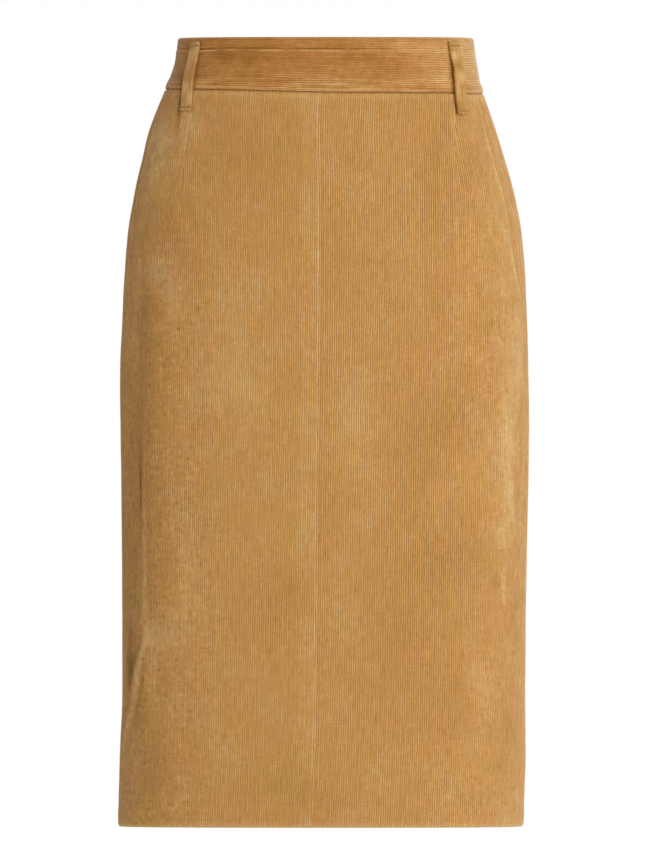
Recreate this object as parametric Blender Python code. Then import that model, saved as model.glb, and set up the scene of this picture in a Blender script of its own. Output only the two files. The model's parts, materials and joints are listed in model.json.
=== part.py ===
"""Pencil skirt in tan fine-wale corduroy, closed and filled out as when it is worn, with nobody in it.

The origin is the centre of the waist, half way up the waistband. The front faces -Y, the wearer's left is +X and
+Z is up. Lengths are in metres. Every cloth piece is a wall that follows one hollow form: a stack of level
sections from the waistband's top edge to the hem. A place on the form is given by its side (+1 for the wearer's
left, -1 for the right), its distance along the section from the centre front, and its drop below the top edge.
"""
import math
from collections import namedtuple

import bmesh
import bpy
import numpy as np
from mathutils import Matrix, Vector

for old in list(bpy.data.objects):
    bpy.data.objects.remove(old)

# ---------------------------------------------------------------- driving sizes
BAND_HEIGHT = 0.046         # waistband at the centre front
BAND_TILT = 0.0020          # how much deeper the band is at the wearer's left, and shallower at the right
BAND_DIP = 0.0011           # how much deeper it is in the middle of the front
DIP_REACH = 0.070           # distance over which that dip fades
TOP_Z = 0.023               # the band's top edge above the origin
GAP = 0.0003                # space kept between pieces that touch

CLOTH = 0.0018              # wall of one layer of corduroy with its seam allowances
BAND_WALL = 0.0030          # two layers and an interlining
HEM_DEPTH = 0.022           # hem allowance turned up inside
HEM_STEP = 0.0008           # height over which the wall thickens to two layers
SQUARE_FRONT = 2.7          # exponent of the front half of a section: 2 is an ellipse, more is flatter
SQUARE_BACK = 2.35          # exponent of the back half
STEPS = 1200                # short straight steps along half a section, from which distances are measured
NEAR = 0.002                # the surface's direction at a place is taken over this distance to each side
TURN_TOP = 0.0012           # the skirt hangs a little turned: its seams lie this far towards the wearer's right
TURN_HEM = 0.0067           # at the top edge, and this far at the hem

SIDE_SEAM_FORWARD = 0.032   # the side seam lies this far in front of the widest line
POCKET_LENGTH = 0.177       # pocket mouth, from the waistband seam down
POCKET_GAPE = {1: 0.016, -1: 0.005}   # how far the mouth's front edge bows forward, by side
FACING_REACH = 0.030        # how far the pocket facing goes on under the front panel
FACING_BELOW = 0.012        # and below the mouth's end
FACING_NARROW = 0.0015      # least width kept for the strip between the mouth and the side seam

DART_SINK = 0.0007          # a sewn dart's line lies this deep in the cloth
DART_FLANK = 0.0035         # half width of that furrow

ZIP_END = 0.226             # drop of the zip's lower end
ZIP_HALF_GAP = 0.0009       # half the space between the two edges over the zip
TAPE_EDGE = 0.00075         # the tape's inner edge from the centre back
TAPE_WIDTH = 0.0120
TAPE_THICK = 0.0010
TAPE_TOP = 0.0020           # drop of its upper end
TAPE_BELOW = 0.0100         # how far it goes on below the zip's end
SLIT_HEIGHT = 0.150         # walking slit, from the hem up
SLIT_HALF_GAP = 0.0040      # half its opening at the hem

LOOP_WIDTH = 0.0130
LOOP_THICK = 0.0022
LOOP_ARCS = {               # distance of its middle from the centre, at its top and its foot
    ("front", 1): (0.1175, 0.1280),
    ("front", -1): (0.1160, 0.1183),
    ("back", 1): (0.1120, 0.1180),
    ("back", -1): (0.1120, 0.1180),
}
LOOP_TOP = 0.0035           # its upper end below the band's top edge
LOOP_BELOW_SEAM = 0.0185    # its lower end below the band's seam
LOOP_STAND = 0.0040         # room for a belt under its middle
LOOP_TACK = 0.006           # length of each sewn end

SLIDER_DROP = 0.014         # the pull's pin below the band's top edge
PIN_OUT = 0.0021            # the pin's axis outside the band
PIN_RADIUS = 0.0005
PIN_HOLE_RADIUS = 0.0008
LUG_RADIUS = 0.0014
LUG_WIDTH = 0.0009
CHEEK_WIDTH = 0.0008
CHEEK_RADIUS = 0.0012
PULL_LENGTH = 0.0190        # from the pin to the tab's lower end
PULL_WIDTH = 0.0056
PULL_THICK = 0.0010
PULL_NECK = 0.0028          # its width at the pin
PULL_SHOULDER = 0.0045      # where the neck starts to widen, below the pin
CHEEK_OVERLAP = 0.0012      # how far a cheek reaches down over the tab
SLIDER_WIDTH = 0.0060
SLIDER_DEPTH = 0.0024
SLIDER_ABOVE = 0.0035       # its upper end above the pin
SLIDER_BELOW = 0.0055       # its lower end below the pin
LUG_SINK = 0.0010           # how far the lug reaches into the slider's body

# ---------------------------------------------------------------- tables
# One row for each level section: its drop below the top edge, half its width, how far it reaches in front of and
# behind the widest line, and how far its middle sways towards the wearer's left.
Section = namedtuple("Section", "drop half_width front back sway")
SECTIONS = (
    Section(0.000, 0.1262, 0.0830, 0.0900, 0.0008),
    Section(0.020, 0.1290, 0.0845, 0.0925, 0.0006),
    Section(0.040, 0.1343, 0.0872, 0.0962, -0.0008),
    Section(0.060, 0.1415, 0.0908, 0.1005, -0.0016),
    Section(0.080, 0.1487, 0.0942, 0.1048, -0.0020),
    Section(0.105, 0.1556, 0.0978, 0.1090, -0.0012),
    Section(0.138, 0.1636, 0.1010, 0.1127, -0.0005),
    Section(0.172, 0.1692, 0.1031, 0.1150, -0.0002),
    Section(0.224, 0.1728, 0.1046, 0.1165, 0.0000),
    Section(0.300, 0.1750, 0.1050, 0.1160, 0.0000),
    Section(0.380, 0.1741, 0.1044, 0.1136, -0.0004),
    Section(0.470, 0.1728, 0.1034, 0.1106, -0.0006),
    Section(0.565, 0.1722, 0.1026, 0.1082, -0.0009),
    Section(0.617, 0.1733, 0.1022, 0.1073, -0.0018),
    Section(0.650, 0.1731, 0.1020, 0.1068, -0.0029),
    Section(0.674, 0.1728, 0.1018, 0.1065, -0.0036),
)
LENGTH = SECTIONS[-1].drop

# One row for each dart: where its sewn line starts at the waist and where its tip lies, both as distances from the
# centre seam, and its length below the waistband.
Dart = namedtuple("Dart", "top tip length")
DARTS = {
    ("front", 1): Dart(0.1215, 0.1183, 0.090),
    ("front", -1): Dart(0.1095, 0.1228, 0.090),
    ("back", 1): Dart(0.1050, 0.1180, 0.125),
    ("back", -1): Dart(0.1050, 0.1180, 0.125),
}

# One row for each part of a pocket mouth: how far down it is, as a share of its length, and how far its front edge
# has bowed, as a share of the greatest.
Bow = namedtuple("Bow", "along share")
POCKET_BOW = (
    Bow(0.00, 0.00),
    Bow(0.10, 0.50),
    Bow(0.28, 0.96),
    Bow(0.45, 1.00),
    Bow(0.70, 0.88),
    Bow(0.85, 0.72),
    Bow(0.95, 0.42),
    Bow(1.00, 0.00),
)

# Drops of the panels' rows below the waistband's seam: close where the pocket bows, wide where the form is straight.
UPPER_ROWS = (0.058, 0.072, 0.088, 0.104, 0.120, 0.138, 0.156, 0.174, 0.190, 0.204, 0.215, 0.224)
LOWER_ROWS = (0.262, 0.300, 0.340, 0.380, 0.425, 0.470, 0.524, 0.565, 0.617, 0.636)


# ---------------------------------------------------------------- the hollow form
def smooth(rows, column, at):
    """A smooth curve through one column of a table, read at the given value of its first column."""
    x = np.array([row[0] for row in rows])
    y = np.array([getattr(row, column) for row in rows])
    slope = np.diff(y) / np.diff(x)
    same_way = slope[:-1] * slope[1:] > 0
    middle = np.where(same_way, 2 * slope[:-1] * slope[1:] / np.where(same_way, slope[:-1] + slope[1:], 1), 0)
    tangent = np.concatenate([[slope[0]], middle, [slope[-1]]])
    at = min(max(at, x[0]), x[-1])
    i = min(int(np.searchsorted(x, at, side="right")) - 1, len(x) - 2)
    h = x[i + 1] - x[i]
    t = (at - x[i]) / h
    return float(
        (2 * t**3 - 3 * t**2 + 1) * y[i]
        + (t**3 - 2 * t**2 + t) * h * tangent[i]
        + (3 * t**2 - 2 * t**3) * y[i + 1]
        + (t**3 - t**2) * h * tangent[i + 1]
    )


class Ring:
    """The wearer's left half of one level section, from the centre front round to the centre back."""

    def __init__(self, drop):
        size = {name: smooth(SECTIONS, name, drop) for name in Section._fields[1:]}
        self.sway = size["sway"]
        turn = np.linspace(0, math.pi, STEPS + 1)
        front = turn <= math.pi / 2
        power = np.where(front, 2 / SQUARE_FRONT, 2 / SQUARE_BACK)
        depth = np.where(front, size["front"], size["back"])
        self.x = size["half_width"] * np.abs(np.sin(turn)) ** power
        self.y = -depth * np.sign(np.cos(turn)) * np.abs(np.cos(turn)) ** power
        self.x[-1] = 0.0
        steps = np.hypot(np.diff(self.x), np.diff(self.y))
        self.arc = np.concatenate([[0.0], np.cumsum(steps)])
        self.half = float(self.arc[-1])
        self.widest = float(self.arc[STEPS // 2])

    def point(self, side, s, out=0.0):
        """The place at distance s from the centre front, moved outwards; s may run a little past either centre."""
        if s < 0:
            return self.point(-side, -s, out)
        if s > self.half:
            return self.point(-side, 2 * self.half - s, out)
        x, y = np.interp(s, self.arc, self.x), np.interp(s, self.arc, self.y)
        low, high = max(s - NEAR, 0.0), min(s + NEAR, self.half)
        along = (
            np.interp(high, self.arc, self.x) - np.interp(low, self.arc, self.x),
            np.interp(high, self.arc, self.y) - np.interp(low, self.arc, self.y),
        )
        size = math.hypot(*along)
        normal = (along[1] / size, -along[0] / size)
        if s in (0.0, self.half):
            normal = (0.0, -1.0 if s == 0.0 else 1.0)
        return side * (x + out * normal[0]) + self.sway, y + out * normal[1]


RINGS = {}


def ring(drop):
    key = round(drop, 6)
    if key not in RINGS:
        RINGS[key] = Ring(key)
    return RINGS[key]


def on_form(side, s, drop, out=0.0):
    """The point of the form where the cloth at distance s from the centre front hangs, or outside it by out."""
    turn = TURN_TOP + (TURN_HEM - TURN_TOP) * drop / LENGTH
    x, y = ring(drop).point(side, s - side * turn, out)
    return Vector((x, y, TOP_Z - drop))


def seam_drop(side, s):
    """Drop of the waistband's seam, a little deeper in the middle of the front and on the wearer's left side."""
    share = min(max(s / ring(BAND_HEIGHT).half, 0.0), 1.0)
    return BAND_HEIGHT + BAND_DIP * math.exp(-(s / DIP_REACH) ** 2) + side * BAND_TILT * math.sin(math.pi * share)


def side_seam(drop):
    """Distance of the side seam from the centre front."""
    return ring(drop).widest - SIDE_SEAM_FORWARD


def pocket_bow(side, drop):
    """How far the mouth's front edge stands in front of the side seam, at this drop."""
    along = (drop - BAND_HEIGHT) / POCKET_LENGTH
    if not 0 < along < 1:
        return 0.0
    return POCKET_GAPE[side] * max(0.0, smooth(POCKET_BOW, "share", along))


def dart_line(dart, drop):
    """Distance of a dart's sewn line from its centre seam, and how deep it is sunk, at this drop."""
    left = 1 - (drop - BAND_HEIGHT) / dart.length
    open_share = min(max(left, 0.0), 1.0)
    return dart.tip + (dart.top - dart.tip) * open_share, DART_SINK * min(1.0, 3 * open_share)


# ---------------------------------------------------------------- making solids
def finish(name, mesh_data, colour, roughness, metallic=0.0, smooth_angle=40):
    """An object from a bmesh, with its own material and smooth shading that keeps its sharp edges."""
    bmesh.ops.recalc_face_normals(mesh_data, faces=mesh_data.faces)
    mesh = bpy.data.meshes.new(name)
    mesh_data.to_mesh(mesh)
    mesh_data.free()
    mesh.shade_smooth()
    mesh.set_sharp_from_angle(angle=math.radians(smooth_angle))
    material = bpy.data.materials.new(name)
    material.use_nodes = True
    shader = material.node_tree.nodes["Principled BSDF"]
    shader.inputs["Base Color"].default_value = (*colour, 1)
    shader.inputs["Roughness"].default_value = roughness
    shader.inputs["Metallic"].default_value = metallic
    mesh.materials.append(material)
    thing = bpy.data.objects.new(name, mesh)
    bpy.context.scene.collection.objects.link(thing)
    thing.parent = skirt
    return thing


def wall(name, outer, inner, colour, roughness=0.9):
    """A closed wall between two grids of points that have the same rows and columns."""
    rows, columns = len(outer), len(outer[0])
    made = bmesh.new()
    sheets = [[[made.verts.new(p) for p in row] for row in grid] for grid in (outer, inner)]
    for sheet in sheets:
        for i in range(rows - 1):
            for j in range(columns - 1):
                made.faces.new((sheet[i][j], sheet[i][j + 1], sheet[i + 1][j + 1], sheet[i + 1][j]))
    across = [(i, 0) for i in range(rows)] + [(rows - 1, j) for j in range(1, columns)]
    back = [(i, columns - 1) for i in range(rows - 2, -1, -1)] + [(0, j) for j in range(columns - 2, 0, -1)]
    rim = across + back
    for (i, j), (k, m) in zip(rim, rim[1:] + rim[:1]):
        made.faces.new((sheets[0][i][j], sheets[0][k][m], sheets[1][k][m], sheets[1][i][j]))
    bmesh.ops.triangulate(made, faces=[f for f in made.faces if len(f.verts) > 3])
    return finish(name, made, colour, roughness)


def spread(start, end, count):
    """Evenly spaced values from start to end, both included."""
    return [start + (end - start) * i / (count - 1) for i in range(count)]


CORD_TAN = (0.50, 0.27, 0.09)
BAND_TAN = (0.46, 0.24, 0.08)
FACING_TAN = (0.40, 0.21, 0.07)
TAPE_TAN = (0.42, 0.26, 0.12)
ZIP_METAL = (0.45, 0.27, 0.12)


def panel_rows():
    """Drops of a panel's rows under its top edge, down to the hem."""
    turn_up = LENGTH - HEM_DEPTH
    return UPPER_ROWS + LOWER_ROWS + (turn_up - HEM_STEP, turn_up, LENGTH)


def layers(drop):
    """Thickness of a panel's wall: the hem is two layers."""
    return 2 * CLOTH if drop >= LENGTH - HEM_DEPTH else CLOTH


def mouth_columns(side, drop):
    """Distances of the columns that a front panel and the facing under it share, up to the panel's side edge."""
    edge = side_seam(drop) - GAP / 2 - pocket_bow(side, drop)
    return spread(edge - FACING_REACH, edge, 4)


def panel(name, side, columns_at, dart, dart_column, from_back=False):
    """A skirt panel. columns_at(drop, line) gives its columns as distances from its centre seam, in one row."""
    outer, inner = [], []
    for drop in (BAND_HEIGHT,) + panel_rows():
        line, sink = dart_line(dart, drop)
        outer_row, inner_row = [], []
        for j, distance in enumerate(columns_at(drop, line)):
            s = ring(drop).half - distance if from_back else distance
            level = seam_drop(side, s) + GAP if drop == BAND_HEIGHT else drop
            out = -sink if j == dart_column else 0.0
            outer_row.append(on_form(side, s, level, out))
            inner_row.append(on_form(side, s, level, out - layers(drop)))
        outer.append(outer_row)
        inner.append(inner_row)
    return wall(name, outer, inner, CORD_TAN)


def front_panel(side, name):
    before = 7

    def columns_at(drop, line):
        mouth = mouth_columns(side, drop)
        towards_mouth = spread(line + DART_FLANK, mouth[0], 3)
        return spread(GAP / 2, line - DART_FLANK, before) + [line] + towards_mouth + mouth[1:]

    panel(name, side, columns_at, DARTS["front", side], before)


def back_panel(side, name):
    before = 7

    def columns_at(drop, line):
        open_share = max(0.0, (drop - (LENGTH - SLIT_HEIGHT)) / SLIT_HEIGHT)
        start = GAP / 2 + (SLIT_HALF_GAP - GAP / 2) * open_share
        if drop <= ZIP_END:
            start = ZIP_HALF_GAP
        end = ring(drop).half - side_seam(drop) - GAP / 2
        return spread(start, line - DART_FLANK, before) + [line] + spread(line + DART_FLANK, end, 8)

    panel(name, side, columns_at, DARTS["back", side], before, from_back=True)


def pocket_facing(side, name):
    """The strip behind a pocket mouth: level with the skirt at the side seam, one layer deeper under the front."""
    outer, inner = [], []
    deep = CLOTH + GAP
    for drop in (BAND_HEIGHT,) + UPPER_ROWS + (UPPER_ROWS[-1] + FACING_BELOW,):
        bow = pocket_bow(side, drop)
        under = mouth_columns(side, drop)
        seam = side_seam(drop) - GAP / 2
        if bow < FACING_NARROW:
            under[-1] = seam - FACING_NARROW
        showing = spread(under[-1], seam, 5)[1:]
        outer_row, inner_row = [], []
        for s in under + showing:
            level = seam_drop(side, s) + GAP if drop == BAND_HEIGHT else drop
            rise = max(0.0, s - (seam - bow)) / POCKET_GAPE[side]
            outer_row.append(on_form(side, s, level, -deep * (1 - rise)))
            inner_row.append(on_form(side, s, level, -deep * (1 - rise) - CLOTH))
        outer.append(outer_row)
        inner.append(inner_row)
    return wall(name, outer, inner, FACING_TAN)


def waistband():
    """One strip round the waist, from the centre back on the wearer's right to the centre back on the left."""
    outer, inner = [], []
    for part in (0.0, 1 / 3, 2 / 3, 1.0):
        outer_row, inner_row = [], []
        half = ring(BAND_HEIGHT * part).half
        for place in spread(-1.0, 1.0, 51):
            side = 1 if place >= 0 else -1
            s = abs(place) * (half - ZIP_HALF_GAP)
            level = part * (seam_drop(side, s) - GAP / 2)
            outer_row.append(on_form(side, s, level))
            inner_row.append(on_form(side, s, level, -BAND_WALL))
        outer.append(outer_row)
        inner.append(inner_row)
    return wall("waistband", outer, inner, BAND_TAN)


def belt_loop(name, side, where):
    """A strap sewn down at both ends, standing off the waistband between them."""
    outer, inner = [], []
    top_arc, foot_arc = LOOP_ARCS[where, side]
    at_seam = foot_arc if where == "front" else ring(BAND_HEIGHT).half - foot_arc
    foot = seam_drop(side, at_seam) + LOOP_BELOW_SEAM
    free_top, free_foot = LOOP_TOP + LOOP_TACK, foot - LOOP_TACK
    for drop in [LOOP_TOP] + spread(free_top, free_foot, 11) + [foot]:
        along = min(max((drop - free_top) / (free_foot - free_top), 0.0), 1.0)
        lift = LOOP_STAND * math.sin(math.pi * along)
        middle = top_arc + (foot_arc - top_arc) * (drop - LOOP_TOP) / (foot - LOOP_TOP)
        outer_row, inner_row = [], []
        for across in (-0.5, 0.0, 0.5):
            s = (middle if where == "front" else ring(drop).half - middle) + across * LOOP_WIDTH
            outer_row.append(on_form(side, s, drop, GAP + lift + LOOP_THICK))
            inner_row.append(on_form(side, s, drop, GAP + lift))
        outer.append(outer_row)
        inner.append(inner_row)
    return wall(name, outer, inner, CORD_TAN)


def zip_tape(side, name):
    """One tape of the closed zip, behind the centre-back edges."""
    outer, inner = [], []
    deep = BAND_WALL + GAP
    for drop in [TAPE_TOP] + spread(0.020, ZIP_END + TAPE_BELOW, 12):
        outer_row, inner_row = [], []
        for distance in (TAPE_EDGE, TAPE_EDGE + TAPE_WIDTH / 2, TAPE_EDGE + TAPE_WIDTH):
            s = ring(drop).half - distance
            outer_row.append(on_form(side, s, drop, -deep))
            inner_row.append(on_form(side, s, drop, -deep - TAPE_THICK))
        outer.append(outer_row)
        inner.append(inner_row)
    return wall(name, outer, inner, TAPE_TAN)


# ---------------------------------------------------------------- the zip's hard pieces
def block(low, high):
    """A bmesh box between two corners."""
    made = bmesh.new()
    size = Vector(high) - Vector(low)
    middle = (Vector(high) + Vector(low)) / 2
    bmesh.ops.create_cube(made, size=1.0, matrix=Matrix.Translation(middle) @ Matrix.Diagonal((*size, 1)))
    return made


def rod(radius, length, sides=20):
    """A bmesh cylinder along X through the origin."""
    made = bmesh.new()
    along_x = Matrix.Rotation(math.pi / 2, 4, "Y")
    bmesh.ops.create_cone(
        made, cap_ends=True, segments=sides, radius1=radius, radius2=radius, depth=length, matrix=along_x
    )
    return made


def prism(outline, thick, axis):
    """A bmesh slab of the given thickness, from an outline in the plane square to the axis X or Y."""
    made = bmesh.new()
    for end in (-thick / 2, thick / 2):
        points = [(end, a, b) if axis == "X" else (a, end, b) for a, b in outline]
        made.faces.new([made.verts.new(p) for p in points])
    made.verts.ensure_lookup_table()
    count = len(outline)
    for i in range(count):
        j = (i + 1) % count
        made.faces.new((made.verts[i], made.verts[j], made.verts[count + j], made.verts[count + i]))
    return made


def add_boolean(thing, tool_mesh, operation):
    """Joins or cuts with a hidden tool that stands where the thing stands."""
    tool = finish(f"{thing.name}_{operation.lower()}_{len(thing.modifiers)}", tool_mesh, (1, 1, 1), 1.0)
    tool.parent = thing
    tool.hide_render = True
    tool.display_type = "WIRE"
    boolean = thing.modifiers.new(operation.title(), "BOOLEAN")
    boolean.operation = operation
    boolean.solver = "EXACT"
    boolean.object = tool


def place_at_pin(thing):
    """Puts a piece's origin on the pull's axis, leaning with the waistband."""
    upper, surface, lower = (on_form(1, ring(d).half, d) for d in (0.004, SLIDER_DROP, 0.034))
    lean = math.atan2(lower.y - upper.y, upper.z - lower.z)
    outwards = Vector((0, math.cos(lean), math.sin(lean)))
    thing.location = surface + PIN_OUT * outwards
    thing.rotation_euler = (lean, 0, 0)


def zip_slider():
    """The slider's body behind the tapes, and the lug that comes out between the edges and carries the pull."""
    behind = -(PIN_OUT + BAND_WALL + 2 * GAP + TAPE_THICK)
    round_end = [
        (LUG_RADIUS * math.cos(math.radians(a)), LUG_RADIUS * math.sin(math.radians(a)))
        for a in range(-90, 91, 15)
    ]
    root = behind - LUG_SINK
    lug = prism([(root, -LUG_RADIUS)] + round_end + [(root, LUG_RADIUS)], LUG_WIDTH, "X")
    slider = finish("zip_slider", lug, ZIP_METAL, 0.4, 1.0)
    half = SLIDER_WIDTH / 2
    body = block((-half, behind - SLIDER_DEPTH, -SLIDER_BELOW), (half, behind, SLIDER_ABOVE))
    add_boolean(slider, body, "UNION")
    add_boolean(slider, rod(PIN_HOLE_RADIUS, 4 * LUG_WIDTH), "DIFFERENCE")
    place_at_pin(slider)


def zip_pull():
    """The pull tab: a flat drop hanging from a pin between two cheeks."""
    half_inside = LUG_WIDTH / 2 + GAP
    top = -(LUG_RADIUS + GAP)
    neck = PULL_NECK / 2
    widest = -PULL_LENGTH + PULL_WIDTH / 2
    outline = [(-neck, top), (-neck, -PULL_SHOULDER)]
    outline += [
        (PULL_WIDTH / 2 * math.cos(math.radians(a)), widest + PULL_WIDTH / 2 * math.sin(math.radians(a)))
        for a in range(180, 361, 15)
    ]
    outline += [(neck, -PULL_SHOULDER), (neck, top)]
    pull = finish("zip_pull", prism(outline, PULL_THICK, "Y"), ZIP_METAL, 0.35, 1.0)
    for way in (-1, 1):
        cheek = [
            (CHEEK_RADIUS * math.cos(math.radians(a)), CHEEK_RADIUS * math.sin(math.radians(a)))
            for a in range(0, 181, 20)
        ]
        cheek += [(-PULL_THICK / 2, top - CHEEK_OVERLAP), (PULL_THICK / 2, top - CHEEK_OVERLAP)]
        made = prism(cheek, CHEEK_WIDTH, "X")
        bmesh.ops.translate(made, verts=made.verts, vec=(way * (half_inside + CHEEK_WIDTH / 2), 0, 0))
        add_boolean(pull, made, "UNION")
    add_boolean(pull, rod(PIN_RADIUS, 2 * half_inside + CHEEK_WIDTH, sides=12), "UNION")
    place_at_pin(pull)


# ---------------------------------------------------------------- the skirt
skirt = bpy.data.objects.new("skirt", None)
bpy.context.scene.collection.objects.link(skirt)

for side, hand in ((1, "left"), (-1, "right")):
    front_panel(side, f"front_{hand}")
    back_panel(side, f"back_{hand}")
    pocket_facing(side, f"pocket_facing_{hand}")
    for where in ("front", "back"):
        belt_loop(f"belt_loop_{where}_{hand}", side, where)
    zip_tape(side, f"zip_tape_{hand}")
waistband()
zip_slider()
zip_pull()
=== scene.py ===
# %% [markdown]
# # A pencil skirt in tan corduroy
#
# The real skirt is a tube of fine-wale corduroy: two front panels with a dart each, two back panels with a
# dart each, a waistband with its ribs running round, four belt loops, a pocket in each side seam, a zip
# down the centre back and a walking slit below it. It hangs in the shape of a body, with nobody in it, so
# every piece here is a thin shell on one hollow form.
#
# The solid model comes first. It is the fixed frame that every piece has to fit.

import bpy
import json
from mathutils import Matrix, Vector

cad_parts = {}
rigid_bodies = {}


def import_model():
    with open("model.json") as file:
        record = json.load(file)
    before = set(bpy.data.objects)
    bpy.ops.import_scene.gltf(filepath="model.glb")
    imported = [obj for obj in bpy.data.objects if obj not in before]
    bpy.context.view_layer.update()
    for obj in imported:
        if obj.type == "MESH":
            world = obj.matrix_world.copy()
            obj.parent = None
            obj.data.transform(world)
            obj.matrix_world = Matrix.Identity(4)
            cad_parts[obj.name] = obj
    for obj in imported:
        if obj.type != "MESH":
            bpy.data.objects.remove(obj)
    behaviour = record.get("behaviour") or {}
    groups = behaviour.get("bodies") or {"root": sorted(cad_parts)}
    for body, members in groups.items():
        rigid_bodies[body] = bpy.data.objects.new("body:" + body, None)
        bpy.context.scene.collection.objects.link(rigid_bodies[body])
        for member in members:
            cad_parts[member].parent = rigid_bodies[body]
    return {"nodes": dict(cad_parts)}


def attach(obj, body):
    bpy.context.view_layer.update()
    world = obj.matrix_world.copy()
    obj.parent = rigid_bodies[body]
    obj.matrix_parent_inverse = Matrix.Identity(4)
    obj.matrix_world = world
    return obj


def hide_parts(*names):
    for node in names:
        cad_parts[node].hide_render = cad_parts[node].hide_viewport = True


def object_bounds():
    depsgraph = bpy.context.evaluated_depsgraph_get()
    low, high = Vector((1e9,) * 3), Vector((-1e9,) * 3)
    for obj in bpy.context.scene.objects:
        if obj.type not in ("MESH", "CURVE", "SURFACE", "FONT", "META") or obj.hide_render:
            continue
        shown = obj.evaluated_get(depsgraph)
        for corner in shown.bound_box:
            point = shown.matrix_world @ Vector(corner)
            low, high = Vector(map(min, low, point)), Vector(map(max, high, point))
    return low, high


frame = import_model()
solid_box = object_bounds()
print("solid model:", [round(v, 4) for corner in solid_box for v in corner])

# %% What the lesson uses
import json
import math
from collections import namedtuple
from functools import partial

import bmesh
import bpy
import numpy as np
from mathutils import Vector

scene = bpy.context.scene

# %% [markdown]
# ## The cutter's measurements
#
# A skirt block is drafted from a few body measurements: here its length, the height of the band, the places
# of the darts and the side seams. They are the same ones that the solid model was made from, in metres.

# %% Sizes
TOP = solid_box[1].z              # height of the waistband's top edge
LENGTH = TOP - solid_box[0].z     # from there to the hem
BAND_HEIGHT = 0.046
BAND_TILT = 0.0020                # the band is this much deeper at the wearer's left, shallower at the right
BAND_DIP, DIP_REACH = 0.0011, 0.070    # and this much deeper in the middle of the front
TURN_TOP = 0.0012                 # the skirt hangs a little turned: its seams lie this far to the wearer's
TURN_HEM = 0.0067                 # right at the top, and this far at the hem
SIDE_SEAM_FORWARD = 0.032         # the side seams lie this far in front of the widest line
HEM_DEPTH = 0.022
SEAM_ALLOWANCE = 0.015
CLOTH = 0.0018                    # one layer with its pile
BAND_WALL = 0.0030                # two layers and the stiffening between them
PIECE_GAP = 0.0003                # between pieces that lie on each other
WALE = 0.00192                    # from one rib of the corduroy to the next: 13 ribs to the inch
print(f"length {LENGTH * 1000:.0f} mm, {1 / WALE * 0.0254:.1f} ribs to the inch")

# %% [markdown]
# ## The hollow form
#
# A body is not a cone, so the skirt's level sections change from the waist down. Each is a superellipse: an
# ellipse whose exponent is a little over 2, which flattens the stomach and squares the hips. One could loft
# a few hand-drawn curves, but a table of sizes is easier to read and to fit. It holds the same sections as
# the solid model, for each one its drop below the top edge, half its width, how far it reaches in front of
# and behind the widest line, and how far its middle sways to the wearer's left.

# %% The sections
Section = namedtuple("Section", "drop half_width front back sway")
SECTIONS = (
    Section(0.000, 0.1262, 0.0830, 0.0900, 0.0008),
    Section(0.020, 0.1290, 0.0845, 0.0925, 0.0006),
    Section(0.040, 0.1343, 0.0872, 0.0962, -0.0008),
    Section(0.060, 0.1415, 0.0908, 0.1005, -0.0016),
    Section(0.080, 0.1487, 0.0942, 0.1048, -0.0020),
    Section(0.105, 0.1556, 0.0978, 0.1090, -0.0012),
    Section(0.138, 0.1636, 0.1010, 0.1127, -0.0005),
    Section(0.172, 0.1692, 0.1031, 0.1150, -0.0002),
    Section(0.224, 0.1728, 0.1046, 0.1165, 0.0000),
    Section(0.300, 0.1750, 0.1050, 0.1160, 0.0000),
    Section(0.380, 0.1741, 0.1044, 0.1136, -0.0004),
    Section(0.470, 0.1728, 0.1034, 0.1106, -0.0006),
    Section(0.565, 0.1722, 0.1026, 0.1082, -0.0009),
    Section(0.617, 0.1733, 0.1022, 0.1073, -0.0018),
    Section(0.650, 0.1731, 0.1020, 0.1068, -0.0029),
    Section(0.674, 0.1728, 0.1018, 0.1065, -0.0036),
)
SQUARE_FRONT, SQUARE_BACK = 2.7, 2.35    # the exponents
LEVEL_STEP = 0.001                # the form is worked out at a level every millimetre
ARC_STEP = 0.0005                 # and at a point every half millimetre round it
QUARTER = 600                     # points drawn from the centre front to the widest place


def smooth(rows, column, at):
    """A smooth curve through one column of a table, read at values of the table's first column."""
    x = np.array([row[0] for row in rows])
    y = np.array([getattr(row, column) for row in rows])
    slope = np.diff(y) / np.diff(x)
    same_way = slope[:-1] * slope[1:] > 0
    middle = np.where(same_way, 2 * slope[:-1] * slope[1:] / np.where(same_way, slope[:-1] + slope[1:], 1), 0)
    tangent = np.concatenate([[slope[0]], middle, [slope[-1]]])
    at = np.clip(at, x[0], x[-1])
    i = np.clip(np.searchsorted(x, at, side="right") - 1, 0, len(x) - 2)
    h = x[i + 1] - x[i]
    t = (at - x[i]) / h
    return (
        (2 * t**3 - 3 * t**2 + 1) * y[i]
        + (t**3 - 2 * t**2 + t) * h * tangent[i]
        + (3 * t**2 - 2 * t**3) * y[i + 1]
        + (t**3 - t**2) * h * tangent[i + 1]
    )


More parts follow.
